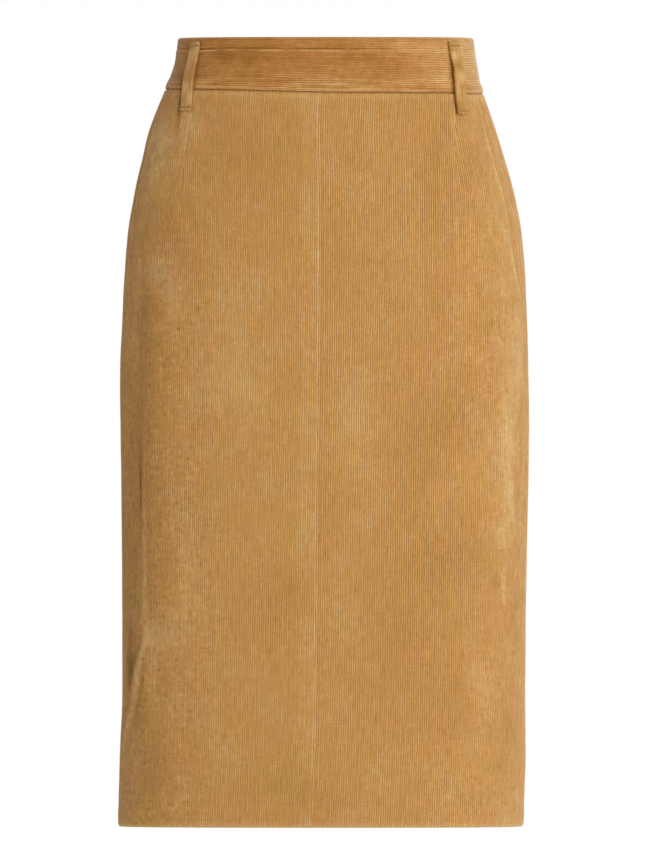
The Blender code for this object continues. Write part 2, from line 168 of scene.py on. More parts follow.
LEVELS = np.arange(0, LENGTH + LEVEL_STEP, LEVEL_STEP)
ARCS = np.arange(0, 0.50, ARC_STEP)    # a little more than the longest half of a section
SWAY = smooth(SECTIONS, "sway", LEVELS)
HALF = np.zeros(len(LEVELS))       # length of half a section, from the centre front to the centre back
WIDEST = np.zeros(len(LEVELS))     # distance of its widest place from the centre front
FORM = np.zeros((4, len(LEVELS), len(ARCS)))    # x, y and the outward direction, at each level and distance
for i, level in enumerate(LEVELS):
    turn = np.linspace(0, math.pi, 2 * QUARTER + 1)
    front = turn <= math.pi / 2
    power = np.where(front, 2 / SQUARE_FRONT, 2 / SQUARE_BACK)
    depth = np.where(front, smooth(SECTIONS, "front", level), smooth(SECTIONS, "back", level))
    x = smooth(SECTIONS, "half_width", level) * np.abs(np.sin(turn)) ** power
    y = -depth * np.sign(np.cos(turn)) * np.abs(np.cos(turn)) ** power
    x[-1] = 0.0
    arc = np.concatenate([[0], np.cumsum(np.hypot(np.diff(x), np.diff(y)))])
    HALF[i], WIDEST[i] = arc[-1], arc[QUARTER]
    beyond = ARCS > arc[-1]
    at = np.where(beyond, 2 * arc[-1] - ARCS, ARCS)
    FORM[0, i] = np.where(beyond, -1, 1) * np.interp(at, arc, x)
    FORM[1, i] = np.interp(at, arc, y)
    FORM[2, i], FORM[3, i] = np.gradient(FORM[1, i], ARC_STEP), -np.gradient(FORM[0, i], ARC_STEP)
FORM[2:, :, 0] = np.array([[0.0], [-1.0]])    # at the centre front, outwards is straight ahead
print(f"round the waist {2 * HALF[0]:.3f} m, round the hips {2 * HALF.max():.3f} m, hem {2 * HALF[-1]:.3f} m")

# %% [markdown]
# A place on the skirt is given as a tailor would give it: which side (+1 is the wearer's left), how far
# from the centre front along the cloth, and how far below the top edge. One function turns any number of
# such places into points, and can move them outwards.

# %% Two soft curves
def bell(distance, width):
    """1 at distance 0, falling softly to nothing at about twice the width."""
    return np.exp(-((distance / width) ** 2))


def ramp(value, start, end):
    """0 before start, 1 after end and smooth between."""
    t = np.clip((value - start) / (end - start), 0, 1)
    return t * t * (3 - 2 * t)


# %% From the cloth to the room
def half_round(drop):
    """Length of the cloth from the centre front to the centre back."""
    return np.interp(drop, LEVELS, HALF)


def on_form(side, s, drop, out=0.0):
    """Points where the cloth at distance s from the centre front hangs, moved outwards by out."""
    side, s, drop, out = np.broadcast_arrays(side, s, drop, out)
    s = s - side * (TURN_TOP + (TURN_HEM - TURN_TOP) * drop / LENGTH)
    way = np.where(s < 0, -side, side)
    level = np.clip(drop / LEVEL_STEP, 0, len(LEVELS) - 1.001)    # so that there is always one more below
    along = np.abs(s) / ARC_STEP
    i, j = level.astype(int), along.astype(int)
    f, g = level - i, along - j
    x, y, out_x, out_y = (
        (t[i, j] * (1 - g) + t[i, j + 1] * g) * (1 - f) + (t[i + 1, j] * (1 - g) + t[i + 1, j + 1] * g) * f
        for t in FORM
    )
    sway = np.interp(drop, LEVELS, SWAY)
    return np.stack([way * (x + out * out_x) + sway, y + out * out_y, TOP - drop], axis=-1)


def seam_drop(side, s):
    """Drop of the waistband's seam."""
    tilt = side * BAND_TILT * np.sin(np.pi * np.clip(s / half_round(BAND_HEIGHT), 0, 1))
    return BAND_HEIGHT + tilt + BAND_DIP * bell(s, DIP_REACH)


def side_seam(drop):
    """Distance of a side seam from the centre front."""
    return np.interp(drop, LEVELS, WIDEST) - SIDE_SEAM_FORWARD


def off_the_form(node):
    """How far the points of a solid piece lie from the form: the nearest and the farthest, in millimetres."""
    places = np.array([v.co for v in frame["nodes"][node].data.vertices])
    least = []
    for x, y, z in places[:: max(1, len(places) // 300)]:
        i = int(round(np.clip((TOP - z) / LEVEL_STEP, 0, len(LEVELS) - 1)))
        least.append(np.hypot(FORM[0, i] - abs(x - SWAY[i]), FORM[1, i] - y).min() * 1000)
    return min(least), max(least)


for node in ("front_left", "front_right", "back_left", "back_right", "waistband"):
    print(node, "points are {:.2f} to {:.2f} mm from the form".format(*off_the_form(node)))

# %% [markdown]
# ## Unevenness
#
# Hung cloth is never quite smooth: pile is brushed one way here and another there, seams pucker, and the
# hand leaves dents. Each needs a random surface with its own grain, so a small function makes one: random
# heights on a coarse grid, with smooth hills between. Its seed is fixed, so each run gives the same skirt.

# %% A soft random surface
HILL_GRID = 96                    # hills before the pattern comes again
GRID_START = 31.3, 17.7           # so that the cloth's middle doesn't fall on the grid's edge


def hills(seed, u, v, step_u, step_v):
    """Smooth random heights from -1 to 1, with hills about step_u by step_v in size."""
    grid = np.random.default_rng(seed).uniform(-1, 1, (HILL_GRID + 1, HILL_GRID + 1))
    a, b = np.asarray(u) / step_u + GRID_START[0], np.asarray(v) / step_v + GRID_START[1]
    i, j = np.floor(a).astype(int), np.floor(b).astype(int)
    f, g = a - i, b - j
    f, g = f * f * (3 - 2 * f), g * g * (3 - 2 * g)
    i, j = i % HILL_GRID, j % HILL_GRID
    upper = grid[i, j] * (1 - f) + grid[i + 1, j] * f
    lower = grid[i, j + 1] * (1 - f) + grid[i + 1, j + 1] * f
    return upper * (1 - g) + lower * g


# %% [markdown]
# ## The ribs of the corduroy
#
# Corduroy is woven with loops of cotton that are cut and brushed up into ribs, called wales. They could be
# painted as stripes, but from the side and at the seams real ribs stand up, so they are modelled: each has
# four columns of points, one in the furrow, one on the crest and one on each flank. Pile is cut by eye and
# brushed, so the height of a rib changes a little along its length.

# %% Rib height
WALE_COLUMNS = 4
WALE_HEIGHT = 0.00042
TUFT_LENGTH = 0.011               # over which a rib's height changes


def ribs(across, along, seed):
    """How far the pile stands out, from -WALE_HEIGHT in a furrow to about 0 on a crest."""
    count = across / WALE
    crest = np.abs(np.sin(np.pi * count)) ** 0.8
    uneven = 1 + 0.22 * hills(seed, np.floor(count), along, 1.0, TUFT_LENGTH)
    return WALE_HEIGHT * (crest * uneven - 1)


print(f"a rib is {WALE * 1000:.2f} mm wide and stands {WALE_HEIGHT * 1000:.2f} mm out of its furrow")

# %% [markdown]
# ## The creases
#
# The main creases are listed one by one, as they lie on the hanging skirt. The cloth falls from the hips
# straight down, so most creases are long and steep. On the wearer's right one long hollow runs down in
# front of the side seam, and turns into a ridge that slants back to it above the hem. On the left the cloth
# is pushed into short slanting dimples beside the thigh. Similar ones are on the back. Each has its own
# length, depth and width.

# %% Where the cloth creases
# A crease runs from one place to another. width is half its hollow, depth how far it is pressed in, ridge
# how far the cloth beside it stands out, on its right when looking from its first end to the other, and bow
# how far its middle bends that way. Distances are from the centre front, drops from the top edge, in
# millimetres.
Crease = namedtuple("Crease", "side start drop end drop_end width depth ridge bow")
CREASES = (
    Crease(-1, 166, 170, 164, 512, 12, 2.6, -1.2, 4),
    Crease(-1, 155, 512, 189, 602, 4.6, -1.5, -2.2, 2),
    Crease(-1, 164, 424, 166, 340, 2.4, 1.1, 0.7, 0),
    Crease(-1, 189, 520, 188, 492, 3.0, 0.9, 0.5, 0),
    Crease(-1, 148, 112, 100, 188, 10, 1.1, 0.6, -5),
    Crease(-1, 182, 290, 178, 430, 5, 0.9, 0.6, 2),
    Crease(-1, 150, 470, 142, 600, 7, 0.8, 0.4, -3),
    Crease(1, 168, 318, 164, 402, 5, -1.5, -0.9, 2),
    Crease(1, 163, 408, 182, 494, 5, -1.3, -0.8, -2),
    Crease(1, 150, 472, 170, 458, 4, 1.2, 0.7, 0),
    Crease(1, 126, 586, 150, 540, 9, 1.0, 0.8, 3),
    Crease(1, 182, 160, 172, 236, 7, 1.2, 0.7, 3),
    Crease(1, 118, 140, 117, 226, 2.5, -0.5, -0.2, 0),
    Crease(1, 108, 372, 18, 412, 20, 0.9, 0.6, -5),
    Crease(1, 60, 392, 112, 290, 26, 0.7, 0.4, 6),
    Crease(-1, 34, 560, 88, 640, 24, 0.9, 0.5, 4),
    Crease(-1, 70, 240, 118, 330, 24, 0.8, 0.5, -5),
    Crease(1, 262, 150, 240, 300, 14, 1.6, 0.9, 4),
    Crease(1, 300, 330, 268, 470, 18, 1.8, 1.0, -6),
    Crease(1, 400, 210, 352, 268, 12, 1.5, 0.9, 5),
    Crease(1, 420, 520, 388, 662, 13, 1.6, 1.1, 3),
    Crease(1, 236, 500, 250, 650, 9, 1.3, 0.9, -4),
    Crease(-1, 258, 120, 236, 252, 12, 1.5, 0.8, 5),
    Crease(-1, 330, 300, 282, 410, 16, 1.9, 1.1, 7),
    Crease(-1, 412, 190, 372, 240, 10, 1.4, 0.9, 4),
    Crease(-1, 300, 470, 262, 640, 15, 1.8, 1.0, -5),
    Crease(-1, 436, 560, 402, 666, 11, 1.4, 0.8, 4),
    Crease(-1, 396, 300, 424, 420, 20, 1.2, 0.7, 6),
)


def creased(side, s, drop):
    """How far the creases move the cloth outwards."""
    total = np.zeros(np.broadcast(side, s, drop).shape)
    for c in CREASES:
        run = np.array([c.end - c.start, c.drop_end - c.drop]) / 1000
        length = np.hypot(*run)
        from_start = np.stack(np.broadcast_arrays(s - c.start / 1000, drop - c.drop / 1000))
        t = np.tensordot(run, from_start, 1) / length**2
        beside = (from_start[0] * run[1] - from_start[1] * run[0]) / length
        beside = beside - c.bow / 1000 * 4 * t * (1 - t)
        fade = ramp(t, -0.15, 0.30) * (1 - ramp(t, 0.65, 1.15)) * (side == c.side)
        width = c.width / 1000 * (0.8 + 0.4 * t)
        ridge = c.ridge * bell(beside - 1.7 * width, 1.2 * width)
        total += fade * (ridge - c.depth * bell(beside, width)) / 1000
    return total


# %% [markdown]
# Where hands and chairs have brushed the pile, it lies another way and looks paler or darker in soft
# patches. The plain ones come with the cloth's own noise. The large ones are listed, like the creases.
# Some of them are painted light: dark ones are painted shade where the cloth turns from the light, in
# folds and beside the belt loops, and narrow pale ones are painted highlights on fold ridges.

# %% Where the pile is brushed, and where shade and light are painted
# A patch lies at a distance from the centre front and a drop, with its half width and half length, in
# millimetres. slant is how far it leans outwards from its upper to its lower end. tone is what it adds: 1
# is as pale as pile gets, and -1 as dark. Below -1 the cloth is darkened further, as painted shade in a fold.
Patch = namedtuple("Patch", "side middle drop half_width half_length slant tone")
TONE_AND_SHADE_PATCHES = (
    # Along the wearer's right side the dark patches are partly pile brushed away from the light and partly
    # painted shade, where the side turns away from the light.
    Patch(-1, 171, 350, 24, 62, 0, -1.0),
    Patch(-1, 176, 465, 36, 62, 4, -1.0),
    Patch(-1, 178, 545, 20, 36, 0, -0.9),
    Patch(-1, 146, 530, 10, 40, 0, 0.4),
    # Painted shadow in a narrow fold, then painted highlights along the ridges of the folds below it.
    Patch(-1, 166, 384, 2.0, 32, -1, -1.0),
    Patch(-1, 158, 450, 4.5, 58, -3, 1.5),
    Patch(-1, 165, 549, 4.0, 31, 17, 1.8),
    Patch(-1, 182, 588, 4.5, 14, 17, 1.4),
    Patch(-1, 180, 534, 6, 34, 8, -0.9),
    Patch(-1, 157, 545, 3.0, 16, 4, -0.8),
    Patch(-1, 165, 578, 4.0, 13, 7, -0.7),
    Patch(-1, 152, 122, 16, 26, 0, 0.5),
    Patch(-1, 40, 640, 34, 16, 0, -0.3),
    Patch(-1, 153, 264, 20, 44, -8, -0.5),
    Patch(-1, 132, 154, 14, 36, -30, -0.5),
    Patch(-1, 149, 82, 30, 24, 0, 0.4),
    Patch(-1, 77, 268, 25, 60, 10, 0.35),
    Patch(-1, 46, 98, 38, 52, 0, -0.4),
    Patch(-1, 113, 455, 14, 94, 0, 0.35),
    Patch(-1, 124, 228, 9, 26, 4, 0.45),
    Patch(-1, 36, 490, 22, 40, 12, -0.4),
    Patch(-1, 145, 630, 16, 44, 0, -0.8),
    Patch(-1, 14, 635, 16, 40, 0, -0.5),
    Patch(1, 176, 336, 14, 86, -6, 0.6),
    Patch(1, 181, 182, 16, 68, 6, 0.4),
    Patch(1, 99, 106, 11, 60, 0, -0.4),
    Patch(1, 14, 400, 20, 40, 0, -0.3),
    Patch(1, 30, 190, 36, 70, 0, -0.2),
    Patch(1, 90, 336, 30, 38, -20, -0.45),
    Patch(1, 105, 464, 44, 38, 18, -0.4),
    Patch(1, 102, 567, 30, 38, 0, -0.35),
    Patch(1, 184, 490, 14, 30, 0, -0.5),
    Patch(1, 36, 332, 15, 20, 0, 0.3),
    Patch(1, 147, 551, 9, 12, 3, 0.5),
    Patch(1, 159, 466, 4, 6, 0, -0.6),
    Patch(1, 189, 635, 12, 36, 0, 0.3),
    # Pale streaks beside the wearer's left side seam: partly wear, partly painted highlight.
    Patch(1, 169, 342, 10, 20, 6, 0.45),
    Patch(1, 178, 384, 4, 26, 7, 0.55),
    Patch(1, 173, 382, 1.8, 22, 16, 0.7),
    Patch(1, 169, 469, 2.4, 15, 1, 0.9),
    Patch(1, 181, 609, 4, 9, 3, 0.5),
    Patch(1, 164, 622, 7, 7, 0, -0.5),
    Patch(1, 180, 608, 16, 34, 0, -0.35),
    Patch(1, 8, 650, 28, 10, 0, -0.4),
    Patch(1, 30, 335, 20, 100, 0, 0.3),
    Patch(1, 40, 140, 26, 34, 0, 0.3),
    Patch(1, 176, 480, 10, 26, 0, 0.3),
    Patch(1, 168, 420, 16, 11, 0, 0.4),
    Patch(1, 190, 264, 10, 20, 0, 0.6),
    Patch(1, 184, 288, 12, 4, 24, 0.5),
    Patch(1, 143, 443, 14, 12, 8, -0.5),
    Patch(-1, 154, 225, 17, 13, -6, -0.6),
    Patch(-1, 146, 264, 13, 9, 0, -0.4),
    Patch(-1, 133, 225, 9, 22, 0, 0.3),
    # The pale patches on the wearer's left half of the band are painted light, where the band turns to the
    # light.
    Patch(1, 96, 24, 46, 24, 0, 0.3),
    Patch(1, 88, 8, 28, 6, 0, 0.4),
    Patch(1, 122, 10, 14, 8, 0, 1.2),
    Patch(1, 104, 36, 14, 8, 0, 0.5),
    Patch(-1, 134, 38, 7, 12, 0, -0.7),
    Patch(-1, 112, 74, 12, 26, 0, 0.45),
    Patch(-1, 148, 201, 22, 12, 0, 0.5),
    Patch(-1, 112, 470, 10, 40, 0, 0.3),
    Patch(-1, 140, 518, 14, 20, 0, 0.5),
    Patch(-1, 160, 574, 14, 26, 0, -0.5),
    Patch(-1, 4, 650, 8, 10, 0, -0.5),
    Patch(-1, 62, 302, 26, 28, 0, 0.25),
    Patch(-1, 8, 470, 12, 24, 0, -0.3),
    Patch(-1, 150, 90, 14, 24, 0, 0.4),
    Patch(-1, 82, 17, 9, 6, 0, -0.5),
    Patch(1, 62, 7, 9, 4, 0, 0.5),
    Patch(1, 6, 41, 8, 4, 0, 0.6),
    Patch(1, 95, 58, 42, 10, 0, -0.4),
    Patch(1, 134, 412, 16, 22, 0, -0.4),
    Patch(1, 100, 225, 9, 22, 0, -0.4),
    Patch(1, 145, 236, 10, 30, 0, -0.4),
    Patch(1, 134, 110, 12, 20, 0, -0.5),
    Patch(1, 72, 510, 30, 24, 0, -0.4),
    Patch(1, 176, 590, 12, 13, 0, -0.6),
    Patch(1, 122, 550, 8, 28, 0, -0.4),
    Patch(1, 146, 24, 24, 30, 0, 0.8),
    Patch(1, 39, 17, 16, 6, 0, -0.5),
    Patch(1, 56, 27, 16, 6, 0, -0.5),
    Patch(1, 19, 8, 12, 4, 0, -0.5),
    Patch(-1, 17, 15, 14, 5, 0, -0.5),
    Patch(-1, 53, 24, 12, 4, 0, 0.3),
    Patch(-1, 88, 16, 12, 4, 0, -0.4),
    Patch(-1, 103, 7, 8, 4, 0, 0.4),
    Patch(-1, 8, 41, 12, 4, 0, 0.4),
    Patch(-1, 44, 41, 14, 4, 0, -0.4),
    Patch(1, 124, 38, 5, 14, 3, -0.6),
    # Painted shadow on the band beside the belt loops, where they stand off it.
    Patch(-1, 124.8, 44, 1.6, 26, 2, -2.5),
    Patch(1, 118.5, 36, 1.8, 28, 10, -1.9),
    Patch(-1, 126, 50, 3.0, 20, 2, -2.0),
    Patch(-1, 90, 12, 50, 9, 0, -0.4),
    Patch(1, 250, 170, 20, 60, 10, -0.5),
    Patch(1, 300, 320, 34, 70, -20, 0.5),
    Patch(1, 400, 450, 30, 80, 15, -0.4),
    Patch(1, 340, 560, 26, 50, 0, 0.4),
    Patch(-1, 260, 230, 24, 66, -10, -0.5),
    Patch(-1, 330, 140, 30, 50, 12, 0.5),
    Patch(-1, 410, 330, 28, 90, -12, -0.4),
    Patch(-1, 300, 520, 32, 60, 8, 0.4),
)


def brushed_and_shaded(side, s, drop):
    """What the patches add to the cloth's tone: brushed pile, painted shade and painted highlights."""
    total = np.zeros(np.broadcast(side, s, drop).shape)
    for p in TONE_AND_SHADE_PATCHES:
        down = (drop * 1000 - p.drop) / p.half_length
        across = (s * 1000 - p.middle - p.slant * down / 2) / p.half_width
        ragged = 1 + 0.35 * hills(9, s, drop, 0.007, 0.012)    # a brushed patch has no clean outline
        total += p.tone * np.exp(-(across**2 + down**2) * ragged) * (side == p.side)
    return total


print(len(CREASES), "creases and", len(TONE_AND_SHADE_PATCHES), "brushed patches")

# %% [markdown]
# Sitting and walking rub the pile flat, so its ribs show less clearly over the hips and low down, and tufts
# there stand askew. Both could be painted on by hand. They change so slowly that a few soft steps from the
# middle to the sides, with hills on them, are enough.

# %% How clear and how ruffled the ribs are
def from_middle(s, drop):
    """Distance along the cloth from the centre front or the centre back, whichever is nearer."""
    return np.minimum(s, half_round(drop) - s)


def rib_clarity(side, s, drop):
    """How clearly the ribs show: 1 where the pile is fresh, and less where it is rubbed."""
    inwards = from_middle(s, drop)
    fresh = np.where(side > 0, 0.85 + 0.30 * ramp(inwards, 0.045, 0.105), 0.70)
    rubbed = 1 - np.where(side > 0, 0.38, 0.12) * ramp(inwards, 0.120, 0.165)
    sat_on = 1 - 0.16 * ramp(drop, 0.36, 0.58)
    patchy = 1 + 0.25 * hills(12, side * s, drop, 0.045, 0.060)
    return fresh * rubbed * sat_on * patchy


def ruffling(side, s, drop):
    """How many tufts stand askew: few in the middle, more beside the hips and most on the wearer's right."""
    at_hip = np.where(side > 0, 0.45, 0.5 + 0.5 * ramp(drop, 0.12, 0.22))
    beside = ramp(from_middle(s, drop), 0.060, 0.140) * at_hip
    return np.clip(0.12 + 0.88 * beside + 0.25 * hills(13, side * s, drop, 0.030, 0.040), 0, 1)


# %% [markdown]
# Between its creases the cloth isn't flat either. It has wide, shallow waves and small dents, and all of
# them die out just below the waistband, which holds it.

# %% How the cloth hangs
def hung(side, s, drop):
    """How far the cloth hangs outside the form between its seams."""
    signed = side * s
    wide = 0.0005 * hills(5, signed, drop, 0.052, 0.085)
    dents = 0.00016 * hills(6, signed, drop, 0.013, 0.019)
    settled = ramp(drop, 0.050, 0.090)
    return settled * (creased(side, s, drop) + wide + dents)


off_form = 1000 * hung(1, ARCS[ARCS < HALF.min(), None], LEVELS[None, :])
print(f"the wearer's left side hangs {off_form.min():.1f} to {off_form.max():.1f} mm off the form")

# %% [markdown]
# ## Shells from two sheets
#
# Every cloth piece is a shell with a right side, covered in ribs, and a wrong side, which is flat. The
# right side needs a point every half millimetre, and the wrong side doesn't, so the shell is made from a
# dense sheet and a coarse one, joined round their edges. A Solidify modifier would copy the dense sheet and
# double the model.

# %% Sheets of points
# ids holds a number for each row and column of a sheet. Columns that run off the cut piece share the number
# of its edge, so the faces between them shrink to triangles or vanish. tone, clear and ruffled say how its
# pile is: brushed pale above 0 or dark below it, with painted highlights and painted shade in it as well,
# how clearly its ribs show, and how many tufts stand askew.
Sheet = namedtuple("Sheet", "ids points across along tone clear ruffled", defaults=[0.0, 1.0, 0.3])


def plain_ids(rows, columns):
    """Point numbers of a sheet in which no column runs off."""
    return np.arange(rows * columns).reshape(rows, columns)


def cells(ids):
    """Faces between the points of a sheet. A point that is met twice in one face is used once."""
    faces = []
    for upper, lower in zip(ids[:-1].tolist(), ids[1:].tolist()):
        for corners in zip(upper[:-1], upper[1:], lower[1:], lower[:-1]):
            kept = tuple(dict.fromkeys(corners))
            if len(kept) > 2:
                faces.append(kept)
    return faces


def joined(first, second, points):
    """Triangles that join two edges, each a list of point numbers that run the same way."""
    faces, i, j = [], 0, 0
    first, second = list(dict.fromkeys(first.tolist())), list(dict.fromkeys(second.tolist()))
    while i < len(first) - 1 or j < len(second) - 1:
        ahead_first = i < len(first) - 1
        if ahead_first and j < len(second) - 1:
            gap_first = np.sum((points[first[i + 1]] - points[second[j]]) ** 2)
            gap_second = np.sum((points[second[j + 1]] - points[first[i]]) ** 2)
            ahead_first = gap_first < gap_second
        if ahead_first:
            faces.append((first[i], first[i + 1], second[j]))
            i += 1
        else:
            faces.append((first[i], second[j + 1], second[j]))
            j += 1
    return faces


# %% [markdown]
# A mesh is finished by turning its faces outwards and shading it smooth, except where it has a sharp edge.
# Then it becomes an object that rides on one of the model's bodies, in place of a solid piece if it stands
# for one.

# %% Finishing a mesh
SHARP = math.radians(70)


def finish(mesh):
    """Turns all faces outwards and shades them smooth, except at sharp edges."""
    made = bmesh.new()
    made.from_mesh(mesh)
    bmesh.ops.recalc_face_normals(made, faces=made.faces)
    made.to_mesh(mesh)
    made.free()
    mesh.shade_smooth()
    mesh.set_sharp_from_angle(angle=SHARP)


def add_piece(name, mesh, body, node=None):
    """An object from a finished mesh, riding on a body. node is the solid piece that it stands for."""
    piece = bpy.data.objects.new(name, mesh)
    scene.collection.objects.link(piece)
    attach(piece, body)
    if node:
        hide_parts(node)
    return piece


# %% [markdown]
# A map lays each cloth piece out flat, as on the cutting table, for anyone who wants to paint it. Its two
# sides lie next to each other, or one above the other for a long piece such as the waistband.

# %% The flat map
MAP_GAP = 0.01                    # between the two sides
MAP_MARGIN = 0.005                # at the edge of the map, whose side is 1


def numbers(items, what):
    """One whole number for each face, or for each corner, of a mesh."""
    found = np.zeros(len(items), np.int32)
    items.foreach_get(what, found)
    return found


def lay_flat(mesh, across, along, ribs_down):
    """A map of the piece laid flat, with the wrong side next to the right side."""
    width, length = np.ptp(across), np.ptp(along)
    if not ribs_down:
        width, length, across, along = length, width, along, across
    corner = numbers(mesh.loops, "vertex_index")
    wrong = np.repeat(numbers(mesh.polygons, "material_index"), numbers(mesh.polygons, "loop_total"))
    u = (across - across.min())[corner]
    v = (along.max() - along)[corner]
    wide = width > 2 * length
    u = u + wrong * (0 if wide else width + MAP_GAP)
    v = v + wrong * (length + MAP_GAP if wide else 0)
    size = max(u.max(), v.max()) * 1.02
    layer = mesh.uv_layers.new(name="OFBake")
    layer.uv.foreach_set("vector", np.stack([u / size + MAP_MARGIN, v / size + MAP_MARGIN], axis=1).ravel())


# %% [markdown]
# Each point of a shell also carries two notes for the corduroy's material. One, called cloth, says where
# the point lies on the flat cloth: on which rib, and how far along it, so the pattern follows the cut of
# each piece and not the room. The other, called pile, says how its pile is: its tone, which holds painted
# highlights and painted shade as well as brushing, how clear and how ruffled.

# %% A shell
PATTERN_SHIFT = 20.0              # so that no two pieces are cut from the same place of the cloth


def note(mesh, name, *numbers_of_points):
    """Writes three numbers on each point of a mesh, for its material to read."""
    values = np.stack(numbers_of_points, axis=1).ravel()
    mesh.attributes.new(name, "FLOAT_VECTOR", "POINT").data.foreach_set("vector", values)


def shell(name, node, right, wrong, materials, ribs_down=True):
    """Makes a cloth piece from its right and wrong sides, in place of the solid piece that it stands for."""
    points = np.concatenate([right.points.reshape(-1, 3), wrong.points.reshape(-1, 3)])
    back = wrong.ids + right.points.size // 3
    right_faces, wrong_faces = cells(right.ids), cells(back)
    edges = np.s_[0, :], np.s_[-1, :], np.s_[:, 0], np.s_[:, -1]
    rim = [face for edge in edges for face in joined(right.ids[edge], back[edge], points)]
    faces = right_faces + wrong_faces + rim
    used = np.unique(np.concatenate([np.array(face) for face in faces]))
    number = np.zeros(len(points), int)
    number[used] = np.arange(len(used))
    mesh = bpy.data.meshes.new(name)
    mesh.from_pydata(points[used].tolist(), [], [[int(number[p]) for p in face] for face in faces])
    wrong_side = np.repeat([0, 1, 0], [len(right_faces), len(wrong_faces), len(rim)])
    mesh.polygons.foreach_set("material_index", wrong_side.astype(np.int32))
    finish(mesh)
    across, along, tone, clear, ruffled = (
        np.concatenate([(getattr(sheet, kind) + 0 * sheet.across).ravel() for sheet in (right, wrong)])[used]
        for kind in ("across", "along", "tone", "clear", "ruffled")
    )
    own_place = np.full(len(used), PATTERN_SHIFT * len(bpy.data.meshes))
    note(mesh, "cloth", across / WALE, along, own_place)
    note(mesh, "pile", tone, clear, ruffled)
    lay_flat(mesh, across, along, ribs_down)
    for material in materials:
        mesh.materials.append(material)
    print(f"{name}: {len(mesh.polygons)} faces")
    return add_piece(name, mesh, "skirt", node)


# %% [markdown]
# ## Materials
#
# Colours are written as the sRGB hex values one reads from a swatch. Blender works with linear light, so
# one function turns them. Another adds a node with its settings and links, which keeps each material short.

# %% Colours and nodes
def linear(swatch):
    """An sRGB hex colour as linear red, green, blue and alpha."""
    parts = [int(swatch[i : i + 2], 16) / 255 for i in (1, 3, 5)]
    return tuple(p / 12.92 if p <= 0.04045 else ((p + 0.055) / 1.055) ** 2.4 for p in parts) + (1.0,)


def add(material, kind, inputs={}, **settings):
    """Adds a node to a material. inputs holds values, outputs or whole nodes, by socket name or number."""
    tree = material.node_tree
    made = tree.nodes.new("ShaderNode" + kind)
    for setting, value in settings.items():
        setattr(made, setting, value)
    for socket, value in inputs.items():
        if isinstance(value, bpy.types.Node):
            value = value.outputs[0]
        if isinstance(value, bpy.types.NodeSocket):
            tree.links.new(value, made.inputs[socket])
        else:
            made.inputs[socket].default_value = value
    return made


def new_material(name):
    """A material with its Principled shader, ready for more nodes."""
    material = bpy.data.materials.new(name)
    material.use_nodes = True
    return material, material.node_tree.nodes["Principled BSDF"]


# %% [markdown]
# ### Cotton corduroy
#
# Cut cotton pile drinks in light: it has almost no gloss, its furrows are darker because light gets lost in
# them, and its fibre tips catch light at a low angle, which is sheen. Brushing lays the pile this way and
# that, and each way has its own tone, so the cloth is mottled in soft patches as large as a hand, in
# streaks along a few ribs, and in short flecks where a tuft stands up. Single fibres are about 0.015 mm
# thick, far too fine to show, so the finest grain drawn is 0.6 mm.

# %% Corduroy
MEAN_DEPTH = 0.40                 # of a rib's profile: a rubbed rib is as dark as a clear one on the whole


